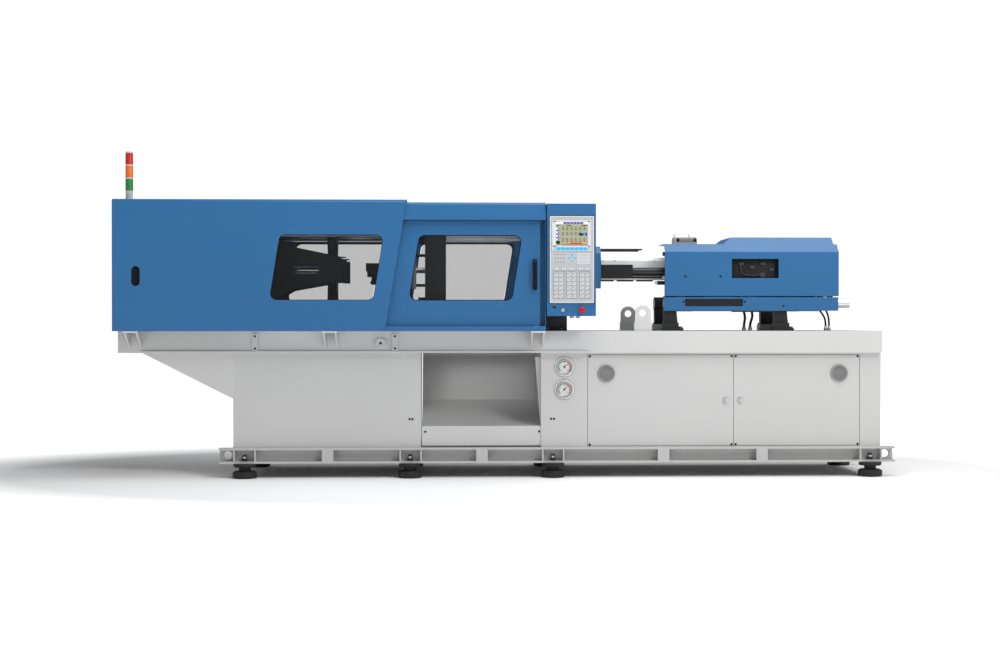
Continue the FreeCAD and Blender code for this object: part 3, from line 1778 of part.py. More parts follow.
def make_injection_base():
    """Carriage casting: deck, slide bearings, head block and shot cylinders."""
    deck = box(deck_left, hood_right - 10, -base_half_width, base_half_width, base_deck_bottom, base_deck_top)
    shapes = [deck]
    cuts = []
    inner_face = hood_half_width - hood_sheet
    for side in (-1, 1):
        y = side * bar_line
        for x in bearing_places:
            shapes.append(rod_x(bearing_radius, x, x + bearing_length, y, bar_height))
            shapes.append(
                box(x + 10, x + bearing_length - 10, y - 24, y + 24, bar_height, base_deck_bottom + 1)
            )
        y0, y1 = sorted((side * (base_half_width - 1), side * inner_face))
        for x in (deck_left + 4, hood_ramp_start + 150, hood_right - 90):
            shapes.append(box(x, x + 60, y0, y1, base_deck_bottom + 4, base_deck_top - 4))
            y2, y3 = sorted((side * (inner_face - 6), side * inner_face))
            shapes.append(box(x + 10, x + 50, y2, y3, skirt_top - 30, base_deck_bottom + 8))
        shapes.append(
            rod_x(
                shot_cylinder_radius,
                head_right - 10,
                shot_cylinder_right,
                side * shot_cylinder_line,
                axis_height,
            )
        )
        cuts.append(rod_x(bar_radius + running_gap, bar_left, bar_right, y, bar_height))
        cuts.append(
            rod_x(
                shot_rod_radius + running_gap,
                shot_rod_left - 25,
                shot_cylinder_right + 1,
                side * shot_cylinder_line,
                axis_height,
            )
        )
    for x in (hose_places[0], hose_places[1], cable_places[0], cable_places[1]):
        shapes.append(rod_z(13, base_deck_bottom - gland_height, base_deck_bottom + 1, x, hose_line))
    head = box(deck_left, head_right, -base_half_width, base_half_width, base_deck_top - 1, head_block_top)
    shapes.append(head)
    cuts.append(rod_x(barrel_radius, deck_left - 1, head_right + 1, 0, axis_height))
    half = throat_half_width
    cuts.append(box(throat_left, throat_right, -half, half, axis_height - throat_depth, throat_top))
    save("injection_base", joined(shapes).cut(cuts))


def make_barrel():
    centre = V(0, 0, axis_height)
    profile = [
        (6, nozzle_tip),
        (nozzle_radius - 8, nozzle_tip),
        (nozzle_radius, nozzle_tip + 18),
        (nozzle_radius, nozzle_tip + 120),
        (barrel_radius - 10, barrel_left - 70),
        (barrel_radius, barrel_left - 60),
        (barrel_radius, barrel_left + 20),
    ]
    pitch = (hood_left - 20 - barrel_left - 20) / heater_count
    heater_length = pitch - heater_gap
    x = barrel_left + 20
    for k in range(heater_count):
        profile += [
            (heater_radius, x), (heater_radius, x + heater_length), (barrel_radius, x + heater_length)
        ]
        x += pitch
        if k < heater_count - 1:
            profile.append((barrel_radius, x))
    profile += [
        (barrel_radius, barrel_right),
        (barrel_bore, barrel_right),
        (barrel_bore, screw_tip - 30),
        (6, screw_tip - 60),
    ]
    body = turned(profile, centre, V(1, 0, 0))
    feed = rod_z(
        feed_radius, axis_height, axis_height + barrel_radius + 5, (throat_left + throat_right) / 2, 0
    )
    save("barrel", body.cut(feed))


def make_screw():
    """Plasticising screw: feed shank and conical tip."""
    profile = [
        (0, screw_tip - 22),
        (4, screw_tip - 20),
        (screw_radius - 4, screw_tip + 12),
        (screw_radius - 4, screw_tip + 26),
        (screw_radius, screw_tip + 30),
        (screw_radius, screw_tip + 60),
        (screw_radius - 5, screw_tip + 66),
        (screw_radius - 7, barrel_right - 240),
        (screw_radius, barrel_right - 100),
        (screw_radius, screw_right),
        (0, screw_right),
    ]
    save("screw", turned(profile, V(0, 0, axis_height), V(1, 0, 0)))


def make_crosshead():
    """Injection crosshead with the two shot rods and the screw drive."""
    left = crosshead_left
    right = left + crosshead_length
    plate = rounded_x(
        [
            (-crosshead_half_width, base_deck_top + clearance),
            (crosshead_half_width, base_deck_top + clearance),
            (crosshead_half_width, axis_height + crosshead_rise),
            (-crosshead_half_width, axis_height + crosshead_rise),
        ],
        crosshead_corner,
        left,
        right,
    )
    drive = turned(
        [
            (0, right),
            (drive_radius, right),
            (drive_radius, right + drive_flange_length),
            (drive_radius - 18, right + drive_flange_length + 6),
            (drive_radius - 18, right + drive_length),
            (0, right + drive_length),
        ],
        V(0, 0, axis_height),
        V(1, 0, 0),
    )
    rods = [
        rod_x(shot_rod_radius, shot_rod_left, left + 1, side * shot_cylinder_line, axis_height)
        for side in (-1, 1)
    ]
    x0 = right + oil_block_inset
    z0 = axis_height + drive_radius - 40
    ports = [box(x0, x0 + oil_block_length, -oil_block_half_width, oil_block_half_width, z0, z0 + 60)]
    socket = rod_x(screw_radius + running_gap, left - 1, screw_right + 20, 0, axis_height)
    save("injection_crosshead", joined([plate, drive] + rods + ports).cut(socket))


def hood_block(inset):
    """Outer form of the hood, or its hollow when an inset is given."""
    half = hood_half_width - inset
    cut_in = hood_high_top - hood_shoulder
    bevel = inset * (math.sqrt(2) - 1)
    section = [
        (-half, hood_bottom - (1 if inset else 0)),
        (half, hood_bottom - (1 if inset else 0)),
        (half, hood_shoulder - bevel),
        (half - cut_in, hood_shoulder - bevel + cut_in),
        (-half + cut_in, hood_shoulder - bevel + cut_in),
        (-half, hood_shoulder - bevel),
    ]
    left = hood_left - (1 if inset else 0)
    right = hood_right - inset
    low = hood_low_top - inset
    high = hood_high_top - inset
    side = [
        (left, hood_bottom - 1),
        (right, hood_bottom - 1),
        (right, hood_shoulder),
        (right - 1, low),
        (right - hood_end_ledge, low),
        (right - hood_end_ledge - 3, high),
        (hood_ramp_end, high),
        (hood_ramp_start, low),
        (left, low),
    ]
    return prism_x(section, left, right).common(prism_y(side, -half, half))


def skirt(side):
    left = skirt_left + (rear_setback if side > 0 else 0)
    y0, y1 = sorted((side * hood_half_width, side * (hood_half_width - hood_sheet)))
    plate = box(left, skirt_right, y0, y1, skirt_bottom, skirt_top)
    y2, y3 = sorted((side * hood_half_width, side * (hood_half_width - 24)))
    lip = box(left, skirt_right, y2, y3, skirt_bottom, skirt_bottom + hood_sheet)
    plate = joined([plate, lip])
    return plate.cut(
        box(skirt_slot_left, skirt_slot_right, y0 - 1, y1 + 1, skirt_slot_bottom, skirt_slot_top)
    )


def make_covers():
    hood = hood_block(0).cut(hood_block(hood_sheet))
    y0 = -hood_half_width - 1
    y1 = -hood_half_width + hood_sheet + 1
    window = box(hood_window_left, hood_window_right, y0, y1, hood_window_bottom, hood_window_top)
    throat = box(
        throat_left - 2,
        throat_right + 2,
        -throat_half_width - 2,
        throat_half_width + 2,
        hood_low_top - 20,
        hood_low_top + 5,
    )
    rear_end = box(hood_left - 1, deck_left, 0, hood_half_width + 1, hood_bottom - 2, hood_high_top)
    hood = hood.cut([window, mirrored(window), throat, rear_end])
    save("injection_covers", Part.makeCompound([hood, skirt(-1), skirt(1)]))


def make_throat():
    """Feed block round the barrel with the hopper flange and the slide guides."""
    half = throat_half_width
    block = box(throat_left, throat_right, -half, half, axis_height - throat_depth, throat_top)
    middle = (throat_left + throat_right) / 2
    guides = []
    for side in (-1, 1):
        y0, y1 = sorted((side * (gate_half_width + clearance), side * (gate_half_width + 8)))
        guides.append(box(throat_left, throat_right, y0, y1, throat_top - 1, throat_top + gate_thickness + 4))
    cuts = [
        rod_x(barrel_radius, throat_left - 1, throat_right + 1, 0, axis_height),
        rod_z(feed_radius, axis_height, throat_top + 20, middle, 0),
    ]
    for sx in (-1, 1):
        for sy in (-1, 1):
            x = middle + sx * hopper_bolt_spacing / 2
            cuts.append(rod_z(hopper_bolt_radius, throat_top - 22, throat_top + 1, x, sy * (half - 12)))
    save("feed_throat", joined([block] + guides).cut(cuts))


def make_gate():
    z0 = throat_top + clearance
    z1 = z0 + gate_thickness - 1
    plate = box(gate_left, gate_left + gate_length, -gate_half_width, gate_half_width, z0, z1)
    x0 = gate_left + 10
    x1 = gate_left + gate_length - 10
    top = z1 + bail_height
    bend = 12.0
    legs = [rod_z(bail_wire, z1 - 1, top - bend, x, 0) for x in (x0, x1)]
    bar = rod_x(bail_wire, x0 + bend, x1 - bend, 0, top)
    corners = []
    for x, start in ((x0, 90), (x1, 0)):
        centre = V(x0 + bend if x == x0 else x1 - bend, 0, top - bend)
        ring = Part.makeTorus(bend, bail_wire, centre, V(0, -1, 0))
        sx = -1 if x == x0 else 1
        left, right = sorted((centre.x, centre.x + sx * 20))
        quarter = box(left, right, -10, 10, centre.z, centre.z + 20)
        corners.append(ring.common(quarter))
    save("feed_gate", joined([plate, bar] + legs + corners))


def make_seat_cylinders():
    """Pair of cylinders that pull the nozzle against the mould, and their rods."""
    half = seat_body / 2
    bodies = []
    rods = []
    for side in (-1, 1):
        y = side * seat_line
        body = box(
            fixed_platen_back, seat_body_right, y - half, y + half, seat_height - half, seat_height + half
        )
        bore = rod_x(seat_rod_radius + running_gap, seat_rod_left - 30, seat_body_right + 1, y, seat_height)
        strip = box(
            seat_body_right - 1, hood_left - 8, y - 25, y + 25, seat_height - half, seat_height - half + 16
        )
        bodies.append(joined([body, strip]).cut(bore))
        rods.append(rod_x(seat_rod_radius, seat_rod_left, deck_left, y, seat_height))
    save("seat_cylinders", Part.makeCompound(bodies))
    save("seat_cylinder_rods", Part.makeCompound(rods))


def make_barrel_cover():
    half = barrel_cover_half
    inner = half - barrel_cover_sheet
    top = axis_height + half
    outline = [
        (-half, barrel_cover_bottom),
        (-half, top - 20),
        (-half + 20, top),
        (half - 20, top),
        (half, top - 20),
        (half, barrel_cover_bottom),
    ]
    hollow = [
        (-inner, barrel_cover_bottom - 1),
        (-inner, top - 21),
        (-inner + 19, top - barrel_cover_sheet),
        (inner - 19, top - barrel_cover_sheet),
        (inner, top - 21),
        (inner, barrel_cover_bottom - 1),
    ]
    right = barrel_cover_right
    shell = prism_x(outline, barrel_cover_left, right).cut(prism_x(hollow, barrel_cover_left - 1, right + 1))
    save("barrel_cover", shell)


def purge_section(inset):
    half = purge_half_width - inset
    bevel = purge_top - purge_shoulder
    low = purge_bottom - (1 if inset else 0)
    lift = inset * (math.sqrt(2) - 1)
    return [
        (-half, low),
        (half, low),
        (half, purge_shoulder - lift),
        (half - bevel + inset - lift, purge_top - inset),
        (-half + bevel - inset + lift, purge_top - inset),
        (-half, purge_shoulder - lift),
    ]


def make_purge_guard():
    shell = prism_x(purge_section(0), purge_left, purge_right)
    shell = shell.cut(prism_x(purge_section(purge_sheet), purge_left - 1, purge_right + 1))
    lugs = []
    holes = []
    for side in (-1, 1):
        y = side * purge_rail_line
        for x in (purge_left + 10, purge_right - 10 - purge_lug_length):
            z0 = purge_rail_height - purge_lug_half
            lugs.append(
                box(x, x + purge_lug_length, y - purge_lug_half, y + purge_lug_half, z0, purge_top - 1)
            )
        holes.append(
            rod_x(purge_rail_radius + running_gap, purge_left - 1, purge_right + 1, y, purge_rail_height)
        )
    save("purge_guard", joined([shell] + lugs).cut(holes))
    rails = []
    for side in (-1, 1):
        rails.append(
            rod_x(
                purge_rail_radius,
                fixed_platen_back,
                purge_rail_right,
                side * purge_rail_line,
                purge_rail_height,
            )
        )
    save("purge_guard_rail", Part.makeCompound(rails))


# --------------------------------------------------------- hoses and cables
hose_line = -120.0
hose_places = (1592.0, 1650.0)
cable_places = (2084.0, 2132.0)
hose_top = base_deck_bottom - gland_height
hose_bottom = bed_top + gland_height
routes = {
    "hose_left": (
        hose_radius,
        [(hose_places[0], hose_top), (hose_places[0], 1112), (1613, 1048), (1603, 1004), (1603, hose_bottom)],
    ),
    "hose_right": (
        hose_radius,
        [(hose_places[1], hose_top), (hose_places[1], 1112), (1663, 1052), (1644, 1004), (1644, hose_bottom)],
    ),
    "cable_left": (
        cable_radius,
        [
            (cable_places[0], hose_top),
            (cable_places[0], 1134),
            (2120, 1088),
            (2150, 1048),
            (2159, 1008),
            (2159, hose_bottom),
        ],
    ),
    "cable_right": (
        cable_radius,
        [
            (cable_places[1], hose_top),
            (cable_places[1], 1136),
            (2160, 1096),
            (2178, 1050),
            (2182, 1008),
            (2182, hose_bottom),
        ],
    ),
}


def tube(points, radius):
    """Straight runs joined by tangent arcs, swept by a round section."""
    knots = [V(x, hose_line, z) for x, z in points]
    edges = []
    start = knots[0]
    smallest = 1e9
    for i in range(1, len(knots) - 1):
        before = knots[i - 1] - knots[i]
        after = knots[i + 1] - knots[i]
        half = (math.pi - before.getAngle(after)) / 2
        reach = 0.45 * min(before.Length, after.Length)
        bend = reach / math.tan(half)
        smallest = min(smallest, bend)
        a = knots[i] + V(before).normalize() * reach
        b = knots[i] + V(after).normalize() * reach
        bisector = (V(before).normalize() + V(after).normalize()).normalize()
        middle = knots[i] + bisector * (bend / math.cos(half) - bend)
        edges.append(Part.LineSegment(start, a).toShape())
        edges.append(Part.Arc(a, middle, b).toShape())
        start = b
    edges.append(Part.LineSegment(start, knots[-1]).toShape())
    path = Part.Wire(edges)
    direction = (edges[0].Vertexes[1].Point - edges[0].Vertexes[0].Point).normalize()
    ring = Part.Wire([Part.makeCircle(radius, knots[0], direction)])
    solid = path.makePipeShell([ring], True, False)
    return solid, path.Length, smallest


def make_hoses():
    for name, (radius, points) in routes.items():
        solid, length, smallest = tube(points, radius)
        expected = math.pi * radius**2 * length
        print(
            name,
            "length",
            round(length, 1),
            "tightest bend",
            round(smallest, 1),
            "volume ratio",
            round(solid.Volume / expected, 4),
        )
        save(name, solid)


def hose_feet():
    feet = []
    for radius, points in routes.values():
        feet.append(rod_z(radius + 6, bed_top, hose_bottom, points[-1][0], hose_line))
    return feet


# --------------------------------------------------------------------- build
make_skid()
make_feet()
make_bed()
make_cabinet()
make_cabinet_doors()
make_gauges()
make_chute()
make_pump()
make_fixed_platen()
make_tie_bars()
make_end_platen()
make_clamp_cylinder()
make_yoke()
make_ejector(make_moving_platen())
make_tail_guards()
make_guard_frame()
make_safety_doors()
make_control()
make_panel()
make_buttons()
make_tower()
make_guide_bars()
make_injection_base()
make_barrel()
make_screw()
make_crosshead()
make_covers()
make_throat()
make_gate()
make_seat_cylinders()
make_barrel_cover()
make_purge_guard()
make_hoses()
save("hose_glands", Part.makeCompound(hose_feet()))
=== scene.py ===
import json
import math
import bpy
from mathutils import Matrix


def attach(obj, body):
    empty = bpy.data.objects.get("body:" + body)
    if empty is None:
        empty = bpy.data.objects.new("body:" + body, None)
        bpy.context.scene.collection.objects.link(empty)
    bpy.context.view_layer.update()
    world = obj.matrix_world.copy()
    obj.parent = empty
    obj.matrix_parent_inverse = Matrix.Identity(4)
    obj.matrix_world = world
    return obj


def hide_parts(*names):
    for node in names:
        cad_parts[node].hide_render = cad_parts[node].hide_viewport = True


bl_info = {
    "name": "Injection moulding machine",
    "version": (1, 0, 0),
    "blender": (4, 5, 0),
    "location": "View3D > Sidebar > Moulding machine",
    "description": "Dresses the solid model of a horizontal injection moulding machine",
    "category": "Object",
}

from itertools import product

import bmesh
import bpy
from bpy.props import FloatProperty, FloatVectorProperty, IntProperty, PointerProperty
from mathutils import Matrix, Vector

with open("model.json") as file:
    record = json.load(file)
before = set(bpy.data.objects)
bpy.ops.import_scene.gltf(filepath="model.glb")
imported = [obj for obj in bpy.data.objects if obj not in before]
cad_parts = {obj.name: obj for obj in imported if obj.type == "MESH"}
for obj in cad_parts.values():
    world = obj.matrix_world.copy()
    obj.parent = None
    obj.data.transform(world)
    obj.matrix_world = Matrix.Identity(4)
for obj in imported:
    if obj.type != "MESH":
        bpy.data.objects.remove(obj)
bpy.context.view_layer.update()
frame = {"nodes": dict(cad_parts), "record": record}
nodes = frame["nodes"]

# Bodies that most pieces ride on.
MACHINE = "machine"
UNIT = "injection_unit"
CLAMP = "clamp"
RAM = "injection_ram"

# Ways a screw head or a turned form can face.
FRONT = (0, -1, 0)
REAR = (0, 1, 0)
LEFT = (-1, 0, 0)
RIGHT = (1, 0, 0)
UP = (0, 0, 1)
SIDES = ((-1, FRONT), (1, REAR))

# Places that several pieces share, in metres.
AXIS_HEIGHT = 1.362
BED_TOP = 0.971
DOOR_FACE = -0.42
GAUGE_X = 0.365
GAUGE_HEIGHTS = (0.72, 0.573)
HEADER_BOTTOM = 1.666
HOSE_Y = -0.12
PORT_X, PORT_Z = -0.832, 0.876
SKIRT_UNDERSIDE = 1.18
TOWER_X, TOWER_Y, TOWER_FOOT = -2.445, -0.48, 1.795

SMOOTH_ANGLE = 35.0


# Node building.
class Graph:
    """One node tree. A node's settings are made before its sockets are fed."""

    def __init__(self, tree):
        self.tree = tree

    def node(self, kind, values=(), **settings):
        made = self.tree.nodes.new(kind)
        for key, value in settings.items():
            setattr(made, key, value)
        for socket, value in dict(values).items():
            self.feed(made.inputs[socket], value)
        return made

    def feed(self, socket, value):
        if isinstance(value, Wire):
            self.tree.links.new(value.socket, socket)
        else:
            socket.default_value = value

    def wire(self, kind, values=(), output=0, **settings):
        return Wire(self, self.node(kind, values, **settings).outputs[output])

    def vector(self, x, y, z):
        return self.wire("ShaderNodeCombineXYZ", {0: x, 1: y, 2: z})


class Wire:
    """An output socket that can be added, taken away and multiplied in plain expressions."""

    def __init__(self, graph, socket):
        self.graph = graph
        self.socket = socket

    def _math(self, operation, *values):
        return self.graph.wire("ShaderNodeMath", dict(enumerate(values)), operation=operation)

    def __add__(self, other):
        return self._math("ADD", self, other)

    __radd__ = __add__

    def __sub__(self, other):
        return self._math("SUBTRACT", self, other)

    def __mul__(self, other):
        return self._math("MULTIPLY", self, other)

    def wave(self):
        return self._math("SINE", self)


class Surface(Graph):
    """A material with one Principled shader, read in Object coordinates."""

    def __init__(self, name):
        self.material = bpy.data.materials.new(name)
        self.material.use_nodes = True
        super().__init__(self.material.node_tree)
        self.shader = self.tree.nodes["Principled BSDF"]
        self.place = self.wire("ShaderNodeTexCoord", output="Object")

    def coordinate(self, index):
        return self.wire("ShaderNodeSeparateXYZ", {0: self.place}, index)

    def noise(self, scale, detail=3.0, stretch=None):
        place = self.place
        if stretch is not None:
            place = self.wire("ShaderNodeMapping", {"Vector": place, "Scale": stretch})
        return self.wire("ShaderNodeTexNoise", {"Vector": place, "Scale": scale, "Detail": detail})

    def tint(self, amount, low, high):
        values = {0: amount, 6: (*low, 1.0), 7: (*high, 1.0)}
        return self.wire("ShaderNodeMix", values, 2, data_type="RGBA")

    def varied(self, amount, colour, low, high):
        """The colour between a darker and a lighter version of itself."""
        return self.tint(amount, shade(colour, low), shade(colour, high))

    def finish(self, tone, roughness, bump=None, specular=0.5, **more):
        """Feeds the shader and returns the material. A bump is a height, a strength and a distance."""
        values = {"Base Color": tone, "Roughness": roughness, "Specular IOR Level": specular}
        values.update({key.replace("_", " ").title(): value for key, value in more.items()})
        if bump:
            relief = dict(zip(("Height", "Strength", "Distance"), bump))
            values["Normal"] = self.wire("ShaderNodeBump", relief)
        for socket, value in values.items():
            self.feed(self.shader.inputs[socket], value)
        return self.material


def shade(colour, factor):
    return [min(1.0, c * factor) for c in colour]


def sheet_paint(name, colour, roughness=0.4):
    """Powder paint on sheet steel: faint orange peel and soft changes of gloss."""
    s = Surface(name)
    tone = s.varied(s.noise(1.3, 2.0), colour, 0.95, 1.05)
    gloss = s.noise(9.0) * 0.1 + (roughness - 0.05)
    bump = (s.noise(420.0, 2.0) + s.noise(60.0, 1.0) * 0.6, 0.1, 0.0006)
    return s.finish(tone, gloss, bump, 0.35, coat_weight=0.1, coat_roughness=0.25)


def casting_paint(name, colour, roughness=0.52):
    """Thick paint over the grain of an iron casting."""
    s = Surface(name)
    grain = s.noise(170.0, 6.0)
    tone = s.varied(s.noise(5.0), colour, 0.88, 1.12)
    bump = (grain + s.noise(34.0, 3.0), 0.14, 0.0008)
    return s.finish(tone, grain * 0.18 + (roughness - 0.09), bump, 0.35)


def ground_steel(name, colour, roughness, stretch):
    """Bright steel with the fine lines that grinding leaves."""
    s = Surface(name)
    lines = s.noise(190.0, 4.0, stretch)
    tone = s.varied(lines, colour, 0.92, 1.06)
    return s.finish(tone, lines * 0.12 + (roughness - 0.06), (lines, 0.05, 0.0003), metallic=1.0)


def heat_steel(name, colour):
    """Steel browned by the heaters."""
    s = Surface(name)
    tone = s.tint(s.noise(7.0, 2.0), (0.055, 0.042, 0.03), colour)
    return s.finish(tone, s.noise(60.0) * 0.2 + 0.28, (s.noise(220.0), 0.1, 0.0005), metallic=1.0)


def moulded(name, colour, roughness=0.4, grain=300.0, specular=0.22):
    """Moulded plastic or rubber with a fine grain."""
    s = Surface(name)
    fine = s.noise(grain)
    tone = s.varied(s.noise(18.0), colour, 0.94, 1.06)
    return s.finish(tone, fine * 0.14 + (roughness - 0.07), (fine, 0.14, 0.0004), specular)


def clear_sheet(name, colour, alpha):
    """Grey-tinted guard glazing."""
    s = Surface(name)
    tone = s.varied(s.noise(2.0), colour, 0.97, 1.03)
    return s.finish(tone, s.noise(6.0) * 0.05 + 0.05, specular=0.35, alpha=alpha)


def lamp_plastic(name, colour):
    """Translucent coloured lens with fine rings."""
    s = Surface(name)
    rings = (s.coordinate(2) * 900.0).wave() * 0.5 + 0.5
    tone = s.varied(rings, colour, 0.82, 1.1)
    return s.finish(tone, s.noise(40.0) * 0.1 + 0.18, (rings, 0.35, 0.001), coat_weight=0.3)


def ink(name, colour, glow=0.0, roughness=0.45):
    """Printed or lit flat colour with a little unevenness."""
    s = Surface(name)
    tone = s.varied(s.noise(120.0), colour, 0.96, 1.04)
    lit = {}
    if glow:
        lit = {"emission_color": s.varied(s.noise(120.0), colour, 0.97, 1.03), "emission_strength": glow}
    return s.finish(tone, s.noise(200.0) * 0.1 + (roughness - 0.05), specular=0.2, **lit)


# Mesh building.
def frame_for(axis):
    """The axis as a unit vector, and two more square to it."""
    along = Vector(axis).normalized()
    side = Vector((0, 0, 1)) if abs(along.z) < 0.9 else Vector((1, 0, 0))
    first = (side - along * side.dot(along)).normalized()
    return along, first, along.cross(first)


def circle(middle, first, second, radius, count):
    """Points evenly round a middle, in the plane of two unit vectors."""
    turns = [2 * math.pi * k / count for k in range(count)]
    return [middle + (first * math.cos(a) + second * math.sin(a)) * radius for a in turns]


def disc(radius, height, *crown, bore=0):
    """Profile of a disc, or of a ring if it has a bore. A crown is a further radius and height."""
    rim = [(radius, height), crown] if crown else [(radius, height)]
    return [(bore, 0), (radius, 0), *rim, (bore, rim[-1][1])]


def corner_arc(before, here, after, radius, steps):
    """Points of the arc that rounds the corner between two straight runs."""
    a = (before - here).normalized()
    b = (after - here).normalized()
    half = a.angle(b) / 2
    reach = min(radius / math.tan(half), (before - here).length * 0.49, (after - here).length * 0.49)
    centre = here + (a + b).normalized() * (reach / math.cos(half))
    start = here + a * reach - centre
    pole = start.cross(here + b * reach - centre).normalized()
    turn = math.pi - 2 * half
    return [centre + Matrix.Rotation(turn * k / steps, 3, pole) @ start for k in range(steps + 1)]


def bent_path(points, radius):
    """Straight runs joined by arcs of one radius, for rigid pipes and cables."""
    path = [Vector(p) for p in points]
    result = [path[0]]
    for corner in zip(path, path[1:], path[2:]):
        result += corner_arc(*corner, radius, 6)
    return result + [path[-1]]


def window_loop(left, right, y):
    """Rounded slanted outline of a guard window, in the plane Y = y."""
    low, high, slant, radius = 1.153, 1.57, 0.067, 0.042
    places = ((left, low), (right, low), (right + slant, high), (left + slant, high))
    corners = [Vector((x, y, z)) for x, z in places]
    points = []
    for i, here in enumerate(corners):
        points += corner_arc(corners[i - 1], here, corners[(i + 1) % 4], radius, 7)
    return points


class Shape:
    """A mesh of closed solids. Each method adds to it and returns it."""

    def __init__(self):
        self.bm = bmesh.new()

    def loft(self, rings, closed=False):
        """Walls between rings of points, where one point makes a tip; open ends are capped."""
        rings = [[self.bm.verts.new(point) for point in ring] for ring in rings]
        for low, high in zip(rings, rings[1:] + rings[:1] if closed else rings[1:]):
            count = max(len(low), len(high))
            for k in range(count):
                j = (k + 1) % count
                if len(low) == 1:
                    wall = (low[0], high[k], high[j])
                elif len(high) == 1:
                    wall = (low[k], low[j], high[0])
                else:
                    wall = (low[k], low[j], high[j], high[k])
                self.bm.faces.new(wall)
        if not closed:
            for ring in (rings[0][::-1], rings[-1]):
                if len(ring) > 1:
                    self.bm.faces.new(ring)
        return self

    def prism(self, corners, rise):
        """A flat outline raised by a vector."""
        return self.loft([corners, [c + Vector(rise) for c in corners]])

    def turning(self, centre, axis, profile, segments):
        """A profile of (radius, height) turned round the axis. One that starts off it makes a ring."""
        along, first, second = frame_for(axis)
        rings = []
        for radius, height in profile:
            middle = Vector(centre) + along * height
            rings.append(circle(middle, first, second, radius, segments if radius else 1))
        return self.loft(rings, closed=profile[0][0] > 0)

    def tube(self, points, radius, segments=12, closed=False):
        """A round tube through points, kept from twisting."""
        path = [Vector(p) for p in points]
        last = len(path) - 1
        up = None
        rings = []
        for i, here in enumerate(path):
            if closed:
                along = (path[(i + 1) % len(path)] - path[i - 1]).normalized()
            else:
                along = (path[min(i + 1, last)] - path[max(i - 1, 0)]).normalized()
            up = up or frame_for(along)[1]
            up = (up - along * up.dot(along)).normalized()
            rings.append(circle(here, up, along.cross(up), radius, segments))
        return self.loft(rings, closed)

    def box(self, low, high, bevel=0.0, segments=2):
        """A box between two corners, its edges rounded by bevel."""
        low, high = Vector(low), Vector(high)
        verts = bmesh.ops.create_cube(self.bm, size=1.0)["verts"]
        for v in verts:
            v.co = v.co * (high - low) + (low + high) / 2
        if bevel:
            edges = list({e for v in verts for e in v.link_edges})
            self.round_edges(edges, min(bevel, min(high - low) * 0.45), segments)
        return self

    def round_edges(self, edges, offset, segments):
        bmesh.ops.bevel(self.bm, geom=edges, offset=offset, segments=segments, affect="EDGES", profile=0.5)
        return self

    def plate(self, x0, x1, z0, z1, y, rise):
        """A thin plate that stands on the plane Y = y towards the front."""
        return self.box((x0, y - rise, z0), (x1, y, z1))

    def border(self, x0, x1, z0, z1, width, y, rise):
        """Four plates round a rectangle."""
        self.plate(x0, x1, z0, z0 + width, y, rise)
        self.plate(x0, x1, z1 - width, z1, y, rise)
        self.plate(x0, x0 + width, z0 + width, z1 - width, y, rise)
        return self.plate(x1 - width, x1, z0 + width, z1 - width, y, rise)

    def arc(self, x, y, z, radius, width, start, stop, steps=28):
        """A printed arc on a dial that faces -Y. Angles in degrees, clockwise from the top."""
        inner = radius - width
        for k in range(steps):
            corners = []
            for a, r in ((k, radius), (k + 1, radius), (k + 1, inner), (k, inner)):
                angle = math.radians(start + (stop - start) * a / steps)
                corners.append(Vector((x + r * math.sin(angle), y, z + r * math.cos(angle))))
            self.prism(corners, (0, -0.0004, 0))
        return self

    def mirrored(self):
        """The same again on the other side of the machine."""
        bm = self.bm
        copy = bmesh.ops.duplicate(bm, geom=bm.verts[:] + bm.edges[:] + bm.faces[:])["geom"]
        for v in [g for g in copy if isinstance(g, bmesh.types.BMVert)]:
            v.co.y = -v.co.y
        bmesh.ops.reverse_faces(bm, faces=[g for g in copy if isinstance(g, bmesh.types.BMFace)])
        return self

    def finish(self, name, material, body=MACHINE, slot=None):
        """The mesh as a piece. The slot, named like its material if none is given, is passed on but not used.
        """
        bmesh.ops.recalc_face_normals(self.bm, faces=self.bm.faces[:])
        mesh = bpy.data.meshes.new(name)
        self.bm.to_mesh(mesh)
        self.bm.free()
        mesh.materials.append(materials[material])
        return piece(name, mesh, body, slot or material)


def linked(name, data):
    """A new object in the scene."""
    obj = bpy.data.objects.new(name, data)
    bpy.context.scene.collection.objects.link(obj)
    return obj


def piece(name, data, body, slot, smooth=SMOOTH_ANGLE):
    """An object that rides on a body. Its slot is not used. Smooth 0 leaves its faces alone."""
    obj = linked(name, data)
    if smooth:
        data.shade_smooth()
        data.set_sharp_from_angle(angle=math.radians(smooth))
    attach(obj, body)
    return obj


